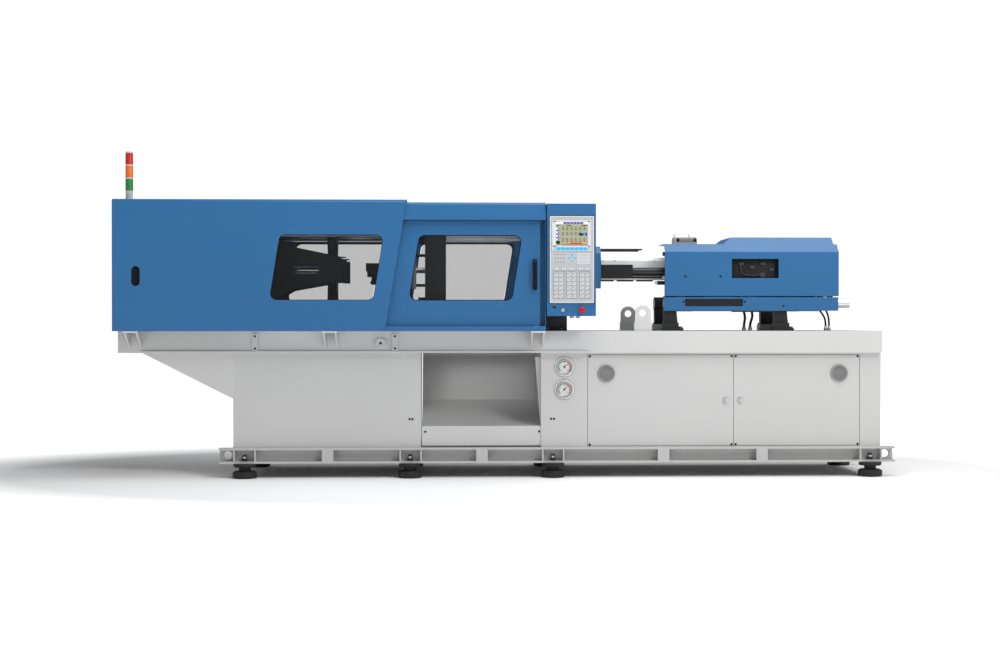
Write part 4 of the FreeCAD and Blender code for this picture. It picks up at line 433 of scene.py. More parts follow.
# Repeated elements.
class Repeat(Graph):
    """A geometry tree that sets one element on every point of a mesh."""

    def __init__(self, name, **inputs):
        super().__init__(bpy.data.node_groups.new(name, "GeometryNodeTree"))
        face = self.tree.interface
        face.new_socket("Geometry", in_out="INPUT", socket_type="NodeSocketGeometry")
        for label, value in inputs.items():
            made = face.new_socket(label, in_out="INPUT", socket_type="NodeSocketFloat")
            made.default_value = value
        face.new_socket("Geometry", in_out="OUTPUT", socket_type="NodeSocketGeometry")
        source = self.node("NodeGroupInput")
        self.points = Wire(self, source.outputs["Geometry"])
        self.sizes = [Wire(self, source.outputs[label]) for label in inputs]

    def geo(self, kind, values=(), **settings):
        return self.wire("GeometryNode" + kind, values, **settings)

    def joined(self, shapes, kind="JoinGeometry"):
        made = self.node("GeometryNode" + kind)
        for shape in shapes:
            self.feed(made.inputs[0], shape)
        return Wire(self, made.outputs[0])

    def lifted(self, shape, rise):
        return self.geo("Transform", {"Geometry": shape, "Translation": self.vector(0.0, 0.0, rise)})

    def drum(self, sides, radius, depth, lift=0.0):
        """A short cylinder standing on the surface at a height."""
        shape = self.geo("MeshCylinder", {"Vertices": sides, "Radius": radius, "Depth": depth})
        return self.lifted(shape, lift + depth * 0.5)

    def bar(self, x, y, z):
        return self.geo("MeshCube", {"Size": self.vector(x, y, z)})

    def pad(self, width, height, rise, corner):
        """A raised rectangle with rounded corners, closed underneath."""
        outline = self.geo("CurvePrimitiveQuadrilateral", {"Width": width, "Height": height})
        rounded = self.geo("FilletCurve", {"Curve": outline, "Count": 4, "Radius": corner}, mode="POLY")
        flat = self.geo("FillCurve", {0: rounded})
        raised = self.geo("ExtrudeMesh", {"Mesh": flat, "Offset Scale": rise, "Individual": False})
        return self.joined([raised, self.geo("FlipFaces", {0: flat})])

    def marked(self, shape):
        """The shape with its faces marked for the second material."""
        values = {"Geometry": shape, "Name": "second", "Value": True}
        return self.geo("StoreNamedAttribute", values, data_type="BOOLEAN", domain="FACE")

    def close(self, shape, material, second=None, pick=None):
        """Turns the shape to each point's facing, stretches it sideways by its reach, and paints it."""
        facing = self.geo("InputNamedAttribute", {"Name": "facing"}, data_type="FLOAT_VECTOR")
        reach = self.geo("InputNamedAttribute", {"Name": "reach"}, data_type="FLOAT")
        values = {
            "Points": self.points,
            "Instance": shape,
            "Rotation": self.wire("FunctionNodeAlignRotationToVector", {"Vector": facing}, axis="Z"),
            "Scale": self.vector(reach, 1.0, 1.0),
        }
        if pick:
            values.update({"Pick Instance": True, "Instance Index": pick})
        made = self.geo("RealizeInstances", {0: self.geo("InstanceOnPoints", values)})
        made = self.geo("SetMaterial", {"Geometry": made, "Material": material})
        if second:
            mark = self.geo("InputNamedAttribute", {"Name": "second"}, data_type="BOOLEAN")
            made = self.geo("SetMaterial", {"Geometry": made, "Material": second, "Selection": mark})
        self.feed(self.node("NodeGroupOutput").inputs[0], made)
        return self.tree


def cap_screw_tree(steel, shadow):
    """Socket head cap screw with a washer, its hexagon socket drawn as a flat dark mark of painted shade."""
    g = Repeat("cap_screws", radius=0.006, height=0.005)
    radius, height = g.sizes
    cone = {"Vertices": 20, "Radius Top": radius * 0.82, "Radius Bottom": radius, "Depth": height * 0.15}
    parts = [
        g.drum(20, radius * 1.35, height * 0.2),
        g.drum(20, radius, height * 0.8, height * 0.2),
        g.lifted(g.geo("MeshCone", cone), height),
        g.marked(g.drum(6, radius * 0.5, height * 0.03, height * 1.15)),
    ]
    return g.close(g.joined(parts), steel, shadow)


def hex_bolt_tree(steel, shadow):
    """Hexagon bolt head with its washer and turned crown."""
    g = Repeat("hex_bolts", radius=0.012, height=0.008)
    radius, height = g.sizes
    parts = [
        g.marked(g.drum(24, radius * 1.25, height * 0.2)),
        g.drum(6, radius, height * 0.8, height * 0.2),
        g.drum(24, radius * 0.8, height * 0.08, height),
    ]
    return g.close(g.joined(parts), steel, shadow)


def key_tree(plastic, border_colour):
    """Membrane key: raised rounded pad inside a thin border."""
    g = Repeat("membrane_keys", width=0.026, height=0.021, rise=0.0012, corner=0.003)
    width, height, rise, corner = g.sizes
    border = g.marked(g.pad(width * 1.14, height * 1.18, rise * 0.45, corner))
    return g.close(g.joined([border, g.pad(width, height, rise, corner)]), plastic, border_colour)


def sign_tree(dark, seed):
    """Small printed signs for keys, one of three plain shapes picked at random."""
    g = Repeat("key_signs", size=0.004)
    size = g.sizes[0]
    parts = [
        g.drum(3, size, 0.0002),
        g.geo("MeshCylinder", {"Vertices": 12, "Radius": size * 0.6, "Depth": 0.0004}),
        g.bar(size * 2.0, size * 0.55, 0.0004),
    ]
    pick = g.wire("FunctionNodeRandomValue", {4: 0, 5: 2, "Seed": seed}, 2, data_type="INT")
    return g.close(g.joined(parts, "GeometryToInstance"), dark, pick=pick)


def fin_tree(material):
    """Rings or fins set along a line, each a thin drum."""
    g = Repeat("fins", radius=0.13, thickness=0.003)
    radius, thickness = g.sizes
    return g.close(g.drum(40, radius, thickness, thickness * -0.5), material)


def slat_tree(material):
    """Straight louvre slats, one metre long before their reach sets the length."""
    g = Repeat("vent_slats", thickness=0.0034, depth=0.004)
    return g.close(g.bar(1.0, *g.sizes), material)


def tick_tree(dark):
    """Scale lines of a dial. Each point faces outwards along its own line."""
    g = Repeat("dial_ticks", length=0.006, width=0.0008)
    length, width = g.sizes
    return g.close(g.bar(width, width, length), dark)


def scattered(name, tree, spots, body, slot, smooth=SMOOTH_ANGLE, reaches=None, **sizes):
    """Runs a repeat tree on (place, facing) spots and keeps the result as one plain mesh."""
    mesh = bpy.data.meshes.new(name + "_points")
    mesh.from_pydata([tuple(place) for place, _ in spots], [], [])
    facing = mesh.attributes.new("facing", "FLOAT_VECTOR", "POINT")
    facing.data.foreach_set("vector", [c for _, direction in spots for c in direction])
    reach = mesh.attributes.new("reach", "FLOAT", "POINT")
    reach.data.foreach_set("value", reaches or [1.0] * len(spots))
    holder = linked(name + "_points", mesh)
    modifier = holder.modifiers.new("repeat", "NODES")
    modifier.node_group = tree
    for item in tree.interface.items_tree:
        if item.in_out == "INPUT" and item.name in sizes:
            modifier[item.identifier] = sizes[item.name]
    return piece(name, plain_mesh(name, holder), body, slot, smooth)


def plain_mesh(name, holder):
    """The mesh that an object's modifiers or text make; the object itself goes."""
    bpy.context.view_layer.update()
    evaluated = holder.evaluated_get(bpy.context.evaluated_depsgraph_get())
    mesh = bpy.data.meshes.new_from_object(evaluated)
    mesh.name = name
    bpy.data.objects.remove(holder)
    return mesh


def screws(name, kind, radius, height, spots, body=MACHINE):
    slot = "black_plastic" if kind in ("cap", "dark_hex") else "zinc_steel"
    scattered(name, screw_trees[kind], spots, body, slot, radius=radius, height=height)


def front_side(y, places):
    return [((x, y, z), FRONT) for x, z in places]


def both_sides(y, places):
    """Spots that face outwards at the front and at the rear, y away from the middle plane."""
    return [((x, side * y, z), facing) for x, z in places for side, facing in SIDES]


def upright(height, places):
    return [((x, y, height), UP) for x, y in places]


def bolt_circle(centre, facing, radius, count, start=0.0):
    """Spots evenly round a centre, from a start angle in degrees."""
    across = Vector((0, 1, 0)) if facing[0] else Vector((1, 0, 0))
    spots = []
    for k in range(count):
        a = math.radians(360 * k / count + start)
        spots.append((Vector(centre) + (across * math.cos(a) + Vector(UP) * math.sin(a)) * radius, facing))
    return spots


# Settings.
def colour_field(name, description, default):
    return FloatVectorProperty(name=name, description=description, default=default, subtype="COLOR", size=3)


def number_field(name, description, default, unit="NONE", most=1000.0):
    return FloatProperty(
        name=name, description=description, default=default, unit=unit, min=0.0, soft_max=most
    )


class MachineLook(bpy.types.PropertyGroup):
    """Colours and sizes a user would change."""

    guard_colour: colour_field("Guard paint", "Paint of guards, doors and covers", (0.0168, 0.1165, 0.283))
    # The base cabinet and the skid take this cream darkened as painted shade.
    frame_colour: colour_field("Frame paint", "Paint of the bed, base and skid", (0.57, 0.57, 0.566))
    casting_colour: colour_field("Casting paint", "Paint of platens and stands", (0.016, 0.016, 0.017))
    pane_colour: colour_field("Pane tint", "Tint of the guard windows", (0.025, 0.026, 0.028))
    pane_alpha: number_field("Pane density", "How much a pane covers", 0.175, most=1.0)
    screw_radius: number_field("Cover screw radius", "Head radius of the cover screws", 0.0055, "LENGTH")
    bolt_radius: number_field("Foot nut radius", "Corner radius of the foot nuts", 0.014, "LENGTH")
    gasket_radius: number_field("Gasket radius", "Radius of the window gaskets", 0.0032, "LENGTH")
    top_power: number_field("Top light", "Power of the light over the machine", 380.0, "POWER")
    key_power: number_field("Key light", "Power of the light at the front right", 830.0, "POWER")
    surround: number_field("Surround", "Strength of the white surround", 0.26)
    sign_seed: IntProperty(name="Sign seed", description="Seed of the signs printed on the keys", default=4)


materials = {}
screw_trees = {}


def look():
    return bpy.context.scene.machine_look


def build_materials():
    """All materials, each from its kind of surface, colour and further values, and the screws."""
    settings = look()
    cream = settings.frame_colour
    even, lengthwise, upright_lines = (1.0, 1.0, 1.0), (12.0, 1.0, 1.0), (1.0, 1.0, 6.0)
    recipes = {
        "guard_blue": (sheet_paint, settings.guard_colour),
        "cream_paint": (sheet_paint, cream, 0.45),
        # The cabinet and skid paints are the frame's cream darkened as painted shade; the machine has one
        # cream paint.
        "cabinet_paint": (sheet_paint, shade(cream, 0.945), 0.45),
        "skid_paint": (sheet_paint, shade(cream, 0.84), 0.45),
        "cover_white": (sheet_paint, (0.86, 0.86, 0.86), 0.35),
        "dark_casting": (casting_paint, settings.casting_colour),
        "motor_paint": (casting_paint, (0.05, 0.06, 0.075)),
        "zinc_steel": (ground_steel, (0.62, 0.62, 0.63), 0.34, even),
        "rod_steel": (ground_steel, (0.045, 0.045, 0.047), 0.36, lengthwise),
        "hard_chrome": (ground_steel, (0.72, 0.73, 0.75), 0.16, lengthwise),
        "clamp_steel": (ground_steel, (0.35, 0.35, 0.36), 0.38, upright_lines),
        "heater_steel": (heat_steel, (0.075, 0.072, 0.07)),
        "throat_grey": (moulded, (0.22, 0.22, 0.225), 0.45),
        "vent_shadow": (moulded, (0.15, 0.15, 0.15), 0.5),
        "vent_grey": (moulded, (0.31, 0.31, 0.315), 0.5),
        "shroud_black": (moulded, (0.012, 0.012, 0.013), 0.5),
        "fitting_grey": (moulded, (0.045, 0.045, 0.048), 0.45),
        "black_plastic": (moulded, (0.01, 0.01, 0.011), 0.38, 300.0, 0.06),
        "panel_silver": (moulded, (0.45, 0.46, 0.48), 0.42, 500.0),
        "signal_red": (moulded, (0.52, 0.008, 0.01), 0.28),
        "hose_rubber": (moulded, (0.01, 0.01, 0.011), 0.55, 700.0),
        "dial_white": (moulded, (0.74, 0.74, 0.74), 0.36),
        "bezel_pale": (moulded, (0.61, 0.62, 0.63), 0.4, 500.0),
        "screw_black": (moulded, (0.015, 0.015, 0.015), 0.4),
        "window_clear": (clear_sheet, settings.pane_colour, settings.pane_alpha),
        "lens_clear": (clear_sheet, (0.55, 0.55, 0.55), 0.05),
        "lamp_lens": (lamp_plastic, (0.75, 0.25, 0.02)),
        "lamp_red": (lamp_plastic, (0.5, 0.01, 0.01)),
        "lamp_orange": (lamp_plastic, (0.72, 0.14, 0.008)),
        "lamp_green": (lamp_plastic, (0.01, 0.2, 0.045)),
        "screen_glass": (ink, (0.3, 0.31, 0.2), 0.25, 0.2),
        "key_blue": (ink, (0.03, 0.42, 0.8)),
        "key_light": (ink, (0.58, 0.6, 0.62)),
        "key_border": (ink, (0.15, 0.155, 0.16)),
        "ink_dark": (ink, (0.02, 0.02, 0.025)),
        "ink_white": (ink, (0.8, 0.82, 0.85), 0.3),
        "ink_blue": (ink, (0.02, 0.03, 0.55), 0.2),
        "ink_cyan": (ink, (0.05, 0.4, 0.75), 0.1),
        "ink_green": (ink, (0.008, 0.24, 0.04)),
        "ink_red": (ink, (0.62, 0.018, 0.014)),
        "ink_orange": (ink, (0.9, 0.25, 0.02)),
    }
    for name, (kind, *values) in recipes.items():
        materials[name] = kind(name, *values)
    for kind, tree, head, mark in (
        ("cap", cap_screw_tree, "screw_black", "ink_dark"),
        ("bright_cap", cap_screw_tree, "zinc_steel", "ink_dark"),
        ("hex", hex_bolt_tree, "zinc_steel", "clamp_steel"),
        ("dark_hex", hex_bolt_tree, "screw_black", "zinc_steel"),
    ):
        screw_trees[kind] = tree(materials[head], materials[mark])


class PieceOperator(bpy.types.Operator):
    """Base of the operators that add pieces."""

    bl_options = {"REGISTER", "UNDO"}

    def execute(self, context):
        self.build()
        return {"FINISHED"}


class MACHINE_OT_stage(PieceOperator):
    """Pale floor, soft studio lights and the camera"""

    bl_idname = "machine.stage"
    bl_label = "Studio"

    def build(self):
        self.floor()
        self.surround()
        self.light("top_light", (1.4, -1.6, 6.5), (-0.22, 0.25, -1.0), (8.0, 3.6), look().top_power)
        self.light("key_light", (7.5, -10.5, 9.5), (-7.2, 10.5, -8.5), (4.0, 4.0), look().key_power)
        data = bpy.data.cameras.new("view_camera")
        data.sensor_width = 36.0
        data.lens = 59.26
        data.clip_end = 200.0
        camera = linked("view_camera", data)
        camera.location = (-0.467, -11.16, 1.02)
        camera.rotation_euler = (math.radians(90.0 - 0.435), 0.0, math.radians(-2.19))
        bpy.context.scene.camera = camera

    def floor(self):
        """The floor takes shadows near the machine and glows white beyond an ellipse round it."""
        bm = bmesh.new()
        bmesh.ops.create_grid(bm, x_segments=1, y_segments=1, size=60.0)
        mesh = bpy.data.meshes.new("studio_floor")
        bm.to_mesh(mesh)
        bm.free()
        s = Surface("studio_floor")
        across = s.coordinate(0) * 0.3
        depth = s.coordinate(1) * 0.5
        far = across * across + depth * depth - 1.0
        tone = s.tint(s.noise(0.4), (0.91, 0.91, 0.91), (0.93, 0.93, 0.93))
        glow = s.tint(far, (0.0, 0.0, 0.0), (1.0, 1.0, 1.0))
        gloss = s.noise(3.0) * 0.1 + 0.65
        made = s.finish(tone, gloss, specular=0.1, emission_color=glow, emission_strength=0.84)
        mesh.materials.append(made)
        linked("studio_floor", mesh)

    def surround(self):
        """White to the camera, weaker as a light."""
        world = bpy.data.worlds.new("studio")
        world.use_nodes = True
        sky = Graph(world.node_tree)
        backdrop = world.node_tree.nodes["Background"].inputs
        seen_white, weak = 1.05, look().surround
        sky.feed(backdrop["Color"], (1.0, 1.0, 1.0, 1.0))
        seen = sky.wire("ShaderNodeLightPath", output="Is Camera Ray")
        sky.feed(backdrop["Strength"], seen * (seen_white - weak) + weak)
        bpy.context.scene.world = world
        bpy.context.scene.view_settings.view_transform = "Standard"

    def light(self, name, place, direction, size, power):
        data = bpy.data.lights.new(name, "AREA")
        data.shape = "RECTANGLE"
        data.size, data.size_y = size
        data.energy = power
        lamp = linked(name, data)
        lamp.location = place
        lamp.rotation_euler = Vector(direction).to_track_quat("-Z", "Y").to_euler()


class MACHINE_OT_finishes(PieceOperator):
    """Paints and metals of the solid parts"""

    bl_idname = "machine.finishes"
    bl_label = "Finishes"

    # Solids whose look differs from the material of their slot. The skid and the base cabinet with its doors
    # take the frame's cream darkened as painted shade.
    special = {
        "barrel_cover": "cover_white",
        "operator_panel": "panel_silver",
        "gauge_lenses": "lens_clear",
        "guide_stands": "dark_casting",
        "seat_cylinders": "shroud_black",
        "skid_frame": "skid_paint",
        "seat_cylinder_rods": "rod_steel",
        "guide_bars": "zinc_steel",
        "purge_guard_rail": "shroud_black",
        "base_cabinet": "cabinet_paint",
        "cabinet_door_left": "cabinet_paint",
        "cabinet_door_right": "cabinet_paint",
    }

    def build(self):
        build_materials()
        named = {item["node"]: item["material_slot"] for item in frame["record"]["subparts"]}
        for node, obj in nodes.items():
            material = materials[self.special.get(node, named[node])]
            for slot in obj.material_slots:
                slot.material = material
            if not obj.material_slots:
                obj.data.materials.append(material)


# Radius of each line and the (x, z) corners of its route, from the unit down to the bed.
ROUTES = {
    "hose_left": (0.0085, [(1.592, 1.18), (1.592, 1.112), (1.613, 1.048), (1.603, 1.004), (1.603, 0.971)]),
    "hose_right": (0.0085, [(1.65, 1.18), (1.65, 1.112), (1.663, 1.052), (1.644, 1.004), (1.644, 0.971)]),
    "cable_left": (
        0.0065,
        [(2.084, 1.18), (2.084, 1.134), (2.12, 1.088), (2.15, 1.048), (2.159, 1.008), (2.159, 0.971)],
    ),
    "cable_right": (
        0.0065,
        [(2.132, 1.18), (2.132, 1.136), (2.16, 1.096), (2.178, 1.05), (2.182, 1.008), (2.182, 0.971)],
    ),
}


class MACHINE_OT_hoses(PieceOperator):
    """Hoses and cables between the bed and the sliding injection unit, with their ferrules"""

    bl_idname = "machine.hoses"
    bl_label = "Hoses and cables"

    def build(self):
        for name, (radius, route) in ROUTES.items():
            self.line(name, radius, route)
            self.ferrules(name, radius, route)

    def line(self, name, radius, route):
        data = bpy.data.curves.new(name + "_line", "CURVE")
        data.dimensions = "3D"
        spline = data.splines.new("NURBS")
        spline.points.add(len(route) - 1)
        for point, (x, z) in zip(spline.points, route):
            point.co = (x, HOSE_Y, z, 1.0)
        spline.order_u = 3
        spline.use_endpoint_u = True
        data.bevel_depth = radius
        data.bevel_resolution = 4
        data.use_fill_caps = True
        data.resolution_u = 12
        data.materials.append(materials["hose_rubber"])
        hose = piece(name + "_line", data, MACHINE, "hose_rubber", 0)
        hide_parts(name)
        self.length(route)

    def length(self, route):
        """Length of the smooth line through the route's corners, in eight chords a bend."""
        total = 0.0
        last = Vector(route[0])
        corners = [Vector(p) for p in route]
        middles = [corners[0]] + [(a + b) / 2 for a, b in zip(corners[1:], corners[2:-1])] + [corners[-1]]
        for start, corner, end in zip(middles, corners[1:], middles[1:]):
            for k in range(1, 9):
                t = k / 8
                here = start * (1 - t) ** 2 + corner * 2 * t * (1 - t) + end * t**2
                total += (here - last).length
                last = here
        return total

    def ferrules(self, name, radius, route):
        """Crimped collar on the bed's gland and a nut under the carriage."""
        x, z = route[-1]
        outer = radius + 0.0035
        collar = [(0, 0), (outer, 0), (outer, 0.004), (outer - 0.001, 0.005), (outer, 0.007)]
        collar += [(outer - 0.001, 0.009), (outer - 0.002, 0.014), (0, 0.0145)]
        Shape().turning((x, HOSE_Y, z - 0.0005), UP, collar, 24).finish(name + "_ferrule", "zinc_steel")
        nut = disc(0.0145, 0.011, 0.013, 0.0125)
        hexagon = Shape().turning((route[0][0], HOSE_Y, SKIRT_UNDERSIDE + 0.0002), UP, nut, 6)
        hexagon.finish(name + "_nut", "zinc_steel", UNIT)


class MACHINE_OT_fasteners(PieceOperator):
    """Screws and bolts of covers, plates, flanges and stands"""

    bl_idname = "machine.fasteners"
    bl_label = "Screws and bolts"

    def build(self):
        self.bed()
        self.unit()
        self.clamp_side()
        self.stands()
        for side, left, right in (("left", 0.532, 1.4655), ("right", 1.4925, 2.3)):
            spots = front_side(DOOR_FACE, product((left, right), (0.211, 0.789)))
            screws("door_screws_" + side, "cap", look().screw_radius, 0.004, spots, side + "_cabinet_door")

    def bed(self):
        spots = both_sides(0.472, product((-1.643, -0.74), (0.921, 0.8415)))
        spots += [((x, -0.412, 0.2975), FRONT) for x in (-0.544, 0.2)]
        spots += [((x, DOOR_FACE, 0.38), FRONT) for x in (-0.646, -0.627, 0.277, 0.297)]
        screws("bed_screws", "cap", look().screw_radius, 0.004, spots)
        half = 0.0195
        ports = product((PORT_X - half, PORT_X + half), (PORT_Z - half, PORT_Z + half))
        flush = both_sides(0.46, product((-2.223, -2.078), (0.933, 0.838))) + both_sides(0.48, ports)
        screws("flush_screws", "bright_cap", 0.0036, 0.002, flush)
        plug = disc(0.0088, 0.004, 0.007, 0.006)
        plugs = Shape().turning((PORT_X, -0.4695, PORT_Z), FRONT, plug, 24).mirrored()
        plugs.finish("port_plugs", "ink_dark", slot="black_plastic")
        gauge = [s for z in GAUGE_HEIGHTS for s in bolt_circle((GAUGE_X, -0.425, z), FRONT, 0.0595, 3, 90)]
        screws("gauge_screws", "bright_cap", 0.0032, 0.002, gauge)
        cylinder = bolt_circle((-1.74, 0, AXIS_HEIGHT), LEFT, 0.143, 12, 15)
        cylinder += bolt_circle((-2.245, 0, AXIS_HEIGHT), LEFT, 0.118, 12, 15)
        screws("cylinder_bolts", "cap", 0.011, 0.014, cylinder)
        cover = bolt_circle((-1.53, 0.428, 0.613), REAR, 0.078, 6)
        screws("tank_cover_bolts", "hex", 0.008, 0.006, cover)

    def unit(self):
        places = ((1.178, 1.316), (1.413, 1.316), (1.166, 1.148), (1.574, 1.148), (1.833, 1.12))
        screws("hood_screws", "cap", look().screw_radius, 0.004, both_sides(0.3, places), UNIT)
        throat = both_sides(0.071, ((1.162, 1.568), (1.278, 1.568)))
        screws("throat_screws", "cap", 0.009, 0.006, throat, UNIT)
        cover = both_sides(0.086, product((0.656, 0.7325, 1.0), (1.4275, 1.312)))
        screws("cover_screws", "bright_cap", 0.004, 0.0025, cover, UNIT)
        body = both_sides(0.246, product((0.639, 0.715), (1.318, 1.376)))
        screws("seat_cylinder_screws", "cap", 0.006, 0.004, body)
        screws("drive_bolts", "cap", 0.007, 0.008, bolt_circle((1.626, 0, AXIS_HEIGHT), RIGHT, 0.09, 10), RAM)

    def clamp_side(self):
        places = product((-0.045, 0.045), (-0.105, 0.105, -0.062, 0.062))
        flange = [((-0.76, y, AXIS_HEIGHT + z), LEFT) for y, z in places]
        screws("ejector_bolts", "cap", 0.009, 0.01, flange, CLAMP)
        hub = bolt_circle((-1.129, 0, AXIS_HEIGHT), RIGHT, 0.064, 8, 22.5)
        screws("yoke_bolts", "cap", 0.008, 0.01, hub, CLAMP)
        feet = upright(BED_TOP, product((0.262, 0.352), (-0.333, 0.333)))
        screws("platen_foot_bolts", "dark_hex", 0.009, 0.01, feet)

    def stands(self):
        sockets = Shape()
        for x in (1.036, 1.775):
            sockets.box((x - 0.004, 0.169, 0.9552), (x + 0.134, 0.301, 0.998), 0.004, 3)
        sockets.finish("rear_stand_sockets", "bezel_pale", slot="panel_silver")
        spots = upright(0.973, product((1.151, 1.89), (-0.279, -0.191)))
        screws("stand_bolts", "dark_hex", 0.011, 0.01, spots)
        nuts = upright(0.127, product((-1.714, -0.642, 0.29, 2.382), (-0.427, 0.427)))
        screws("foot_nuts", "hex", look().bolt_radius, 0.012, nuts)


class MACHINE_OT_operator_panel(PieceOperator):
    """Keypad, screen picture and trims of the operator panel"""

    bl_idname = "machine.operator_panel"
    bl_label = "Operator panel"

    # Y of the membrane and of the screen's bezel.
    field = -0.6545
    bezel = -0.659

    def build(self):
        self.keypad()
        self.cursor_keys()
        self.screen_picture()
        self.trims()

    def keys(self, name, tree, places, width, height, rise, corner, y=field):
        sizes = {"width": width, "height": height, "rise": rise, "corner": corner}
        return scattered(name, tree, front_side(y, places), MACHINE, "key_blue", **sizes)

    def keypad(self):
        printed = sign_tree(materials["ink_dark"], look().sign_seed)

        def signs(name, places, lift, size):
            """Signs on keys that rise so far over the membrane."""
            spots = front_side(self.field - lift, places)
            scattered(name, printed, spots, MACHINE, "black_plastic", size=size)

        columns = (0.2926, 0.3263, 0.3755, 0.4112, 0.4598, 0.4955)
        axis = [(x, 1.3139 - 0.0274 * row) for x, row in product(columns, range(6))]
        framed = key_tree(materials["key_light"], materials["key_border"])
        pads = self.keys("axis_keys", framed, axis, 0.0265, 0.0205, 0.0012, 0.003)
        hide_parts("panel_keys")
        marks = [(x + dx, z + dz) for dx, dz in ((0.004, -0.002), (-0.006, 0.004)) for x, z in axis]
        signs("axis_key_signs", marks, 0.0013, 0.0043)

        modes = [(x, 1.356) for x in (0.2997, 0.3444, 0.3918, 0.4547, 0.4942)]
        self.keys("mode_keys", framed, modes, 0.028, 0.021, 0.001, 0.004)
        marks = [(x, z + dz) for x, z in modes for dz in (0.004, -0.003)]
        signs("mode_key_signs", marks, 0.0011, 0.004)

        pages = product((0.288, 0.3062, 0.3256, 0.3431), (1.4469, 1.4218, 1.3972))
        signs("page_key_signs", pages, 0, 0.0052)

        rows = product((0.4397, 0.4611, 0.4819, 0.5013), range(4))
        numbers = [(x, 1.4469 - 0.0185 * k) for x, k in rows]
        plain = key_tree(materials["key_light"], materials["panel_silver"])
        self.keys("number_keys", plain, numbers, 0.0165, 0.0145, 0.0008, 0.003)
        signs("number_key_signs", numbers, 0.0009, 0.0022)

        functions = [(0.395 + 0.029 * (k - 3), 1.481) for k in range(7)]
        blue = key_tree(materials["key_blue"], materials["ink_cyan"])
        self.keys("function_keys", blue, functions, 0.0225, 0.0165, 0.0014, 0.0065, self.bezel)

    def cursor_keys(self):
        """Four blunt arrows that point away from one middle."""
        arrow = ((0.0, 0.007), (0.0068, -0.001), (0.0052, -0.006), (-0.0052, -0.006), (-0.0068, -0.001))
        arrows = Shape()
        for dx, dz in ((0, 1), (0, -1), (1, 0), (-1, 0)):
            centre = Vector((0.3944 + dx * 0.0188, self.field, 1.4218 + dz * 0.0188))
            ahead = Vector((dx, 0, dz))
            across = Vector((dz, 0, -dx))
            arrows.prism([centre + across * a + ahead * b for a, b in arrow], (0, -0.0012, 0))
        arrows.finish("cursor_keys", "key_blue")

    def trims(self):
        """Group frames, dividing lines, the recessed border and the port."""
        y = self.field
        low, high, inset = 1.1628, 1.3359, 0.002
        frames = Shape()
        fields = Shape()
        for x0, x1 in ((0.2737, 0.3464), (0.3567, 0.4287), (0.441, 0.5137)):
            frames.border(x0, x1, low, high, 0.0018, y, 0.0009)
            fields.plate(x0 + inset, x1 - inset, low + inset, high - inset, y, 0.0003)
        for z in (1.3838, 1.3398):
            frames.plate(0.266, 0.52, z, z + 0.001, y, 0.0007)
        frames.plate(0.4237, 0.4247, 1.3408, 1.3838, y, 0.0007)
        frames.finish("key_group_frames", "key_border", slot="panel_silver")
        fields.finish("key_group_fields", "panel_silver")
        rim = Shape().border(0.2535, 0.5365, 1.1355, 1.6905, 0.006, -0.656, 0.0012)
        rim.finish("panel_rim", "bezel_pale", slot="panel_silver")
        seal = Shape().border(0.2485, 0.5415, 1.1305, 1.6955, 0.0052, -0.65, 0.0012)
        seal.finish("panel_seal", "ink_dark", slot="black_plastic")
        face = Shape().border(0.267, 0.517, 1.468, 1.665, 0.0045, self.bezel, 0.0006)
        for x0, x1 in ((0.2725, 0.2925), (0.4975, 0.5115)):
            face.plate(x0, x1, 1.4955, 1.6585, self.bezel, 0.0004)
        for z0, z1 in ((1.6535, 1.6595), (1.4925, 1.5015)):
            face.plate(0.2725, 0.5115, z0, z1, self.bezel, 0.0004)
        face.finish("bezel_face", "bezel_pale", slot="panel_silver")
        port = Shape().box((0.2715, -0.6502, 1.1015), (0.2935, -0.643, 1.1145), 0.0015)
        port.finish("port_socket", "ink_dark", slot="black_plastic")
        ring = disc(0.0195, 0.0035, 0.0175, 0.0055, bore=0.0112)
        Shape().turning((0.459, -0.6505, 1.09), FRONT, ring, 40).finish("stop_collar", "signal_red")

    def screen_picture(self):
        """A generic process page: title row, icon column, three tables and a message bar."""
        x0, x1, z0, z1 = 0.2935, 0.4965, 1.5025, 1.6525
        layers = {ink: Shape() for ink in ("white", "blue", "dark", "green", "red", "cyan", "orange")}

        def mark(ink, u0, u1, v0, v1, rise=0.00015):
            """A block of ink, its place given in shares of the screen's width and height."""
            width, height = x1 - x0, z1 - z0
            block = (x0 + width * u0, x0 + width * u1, z0 + height * v0, z0 + height * v1)
            layers[ink].plate(*block, -0.658, rise)

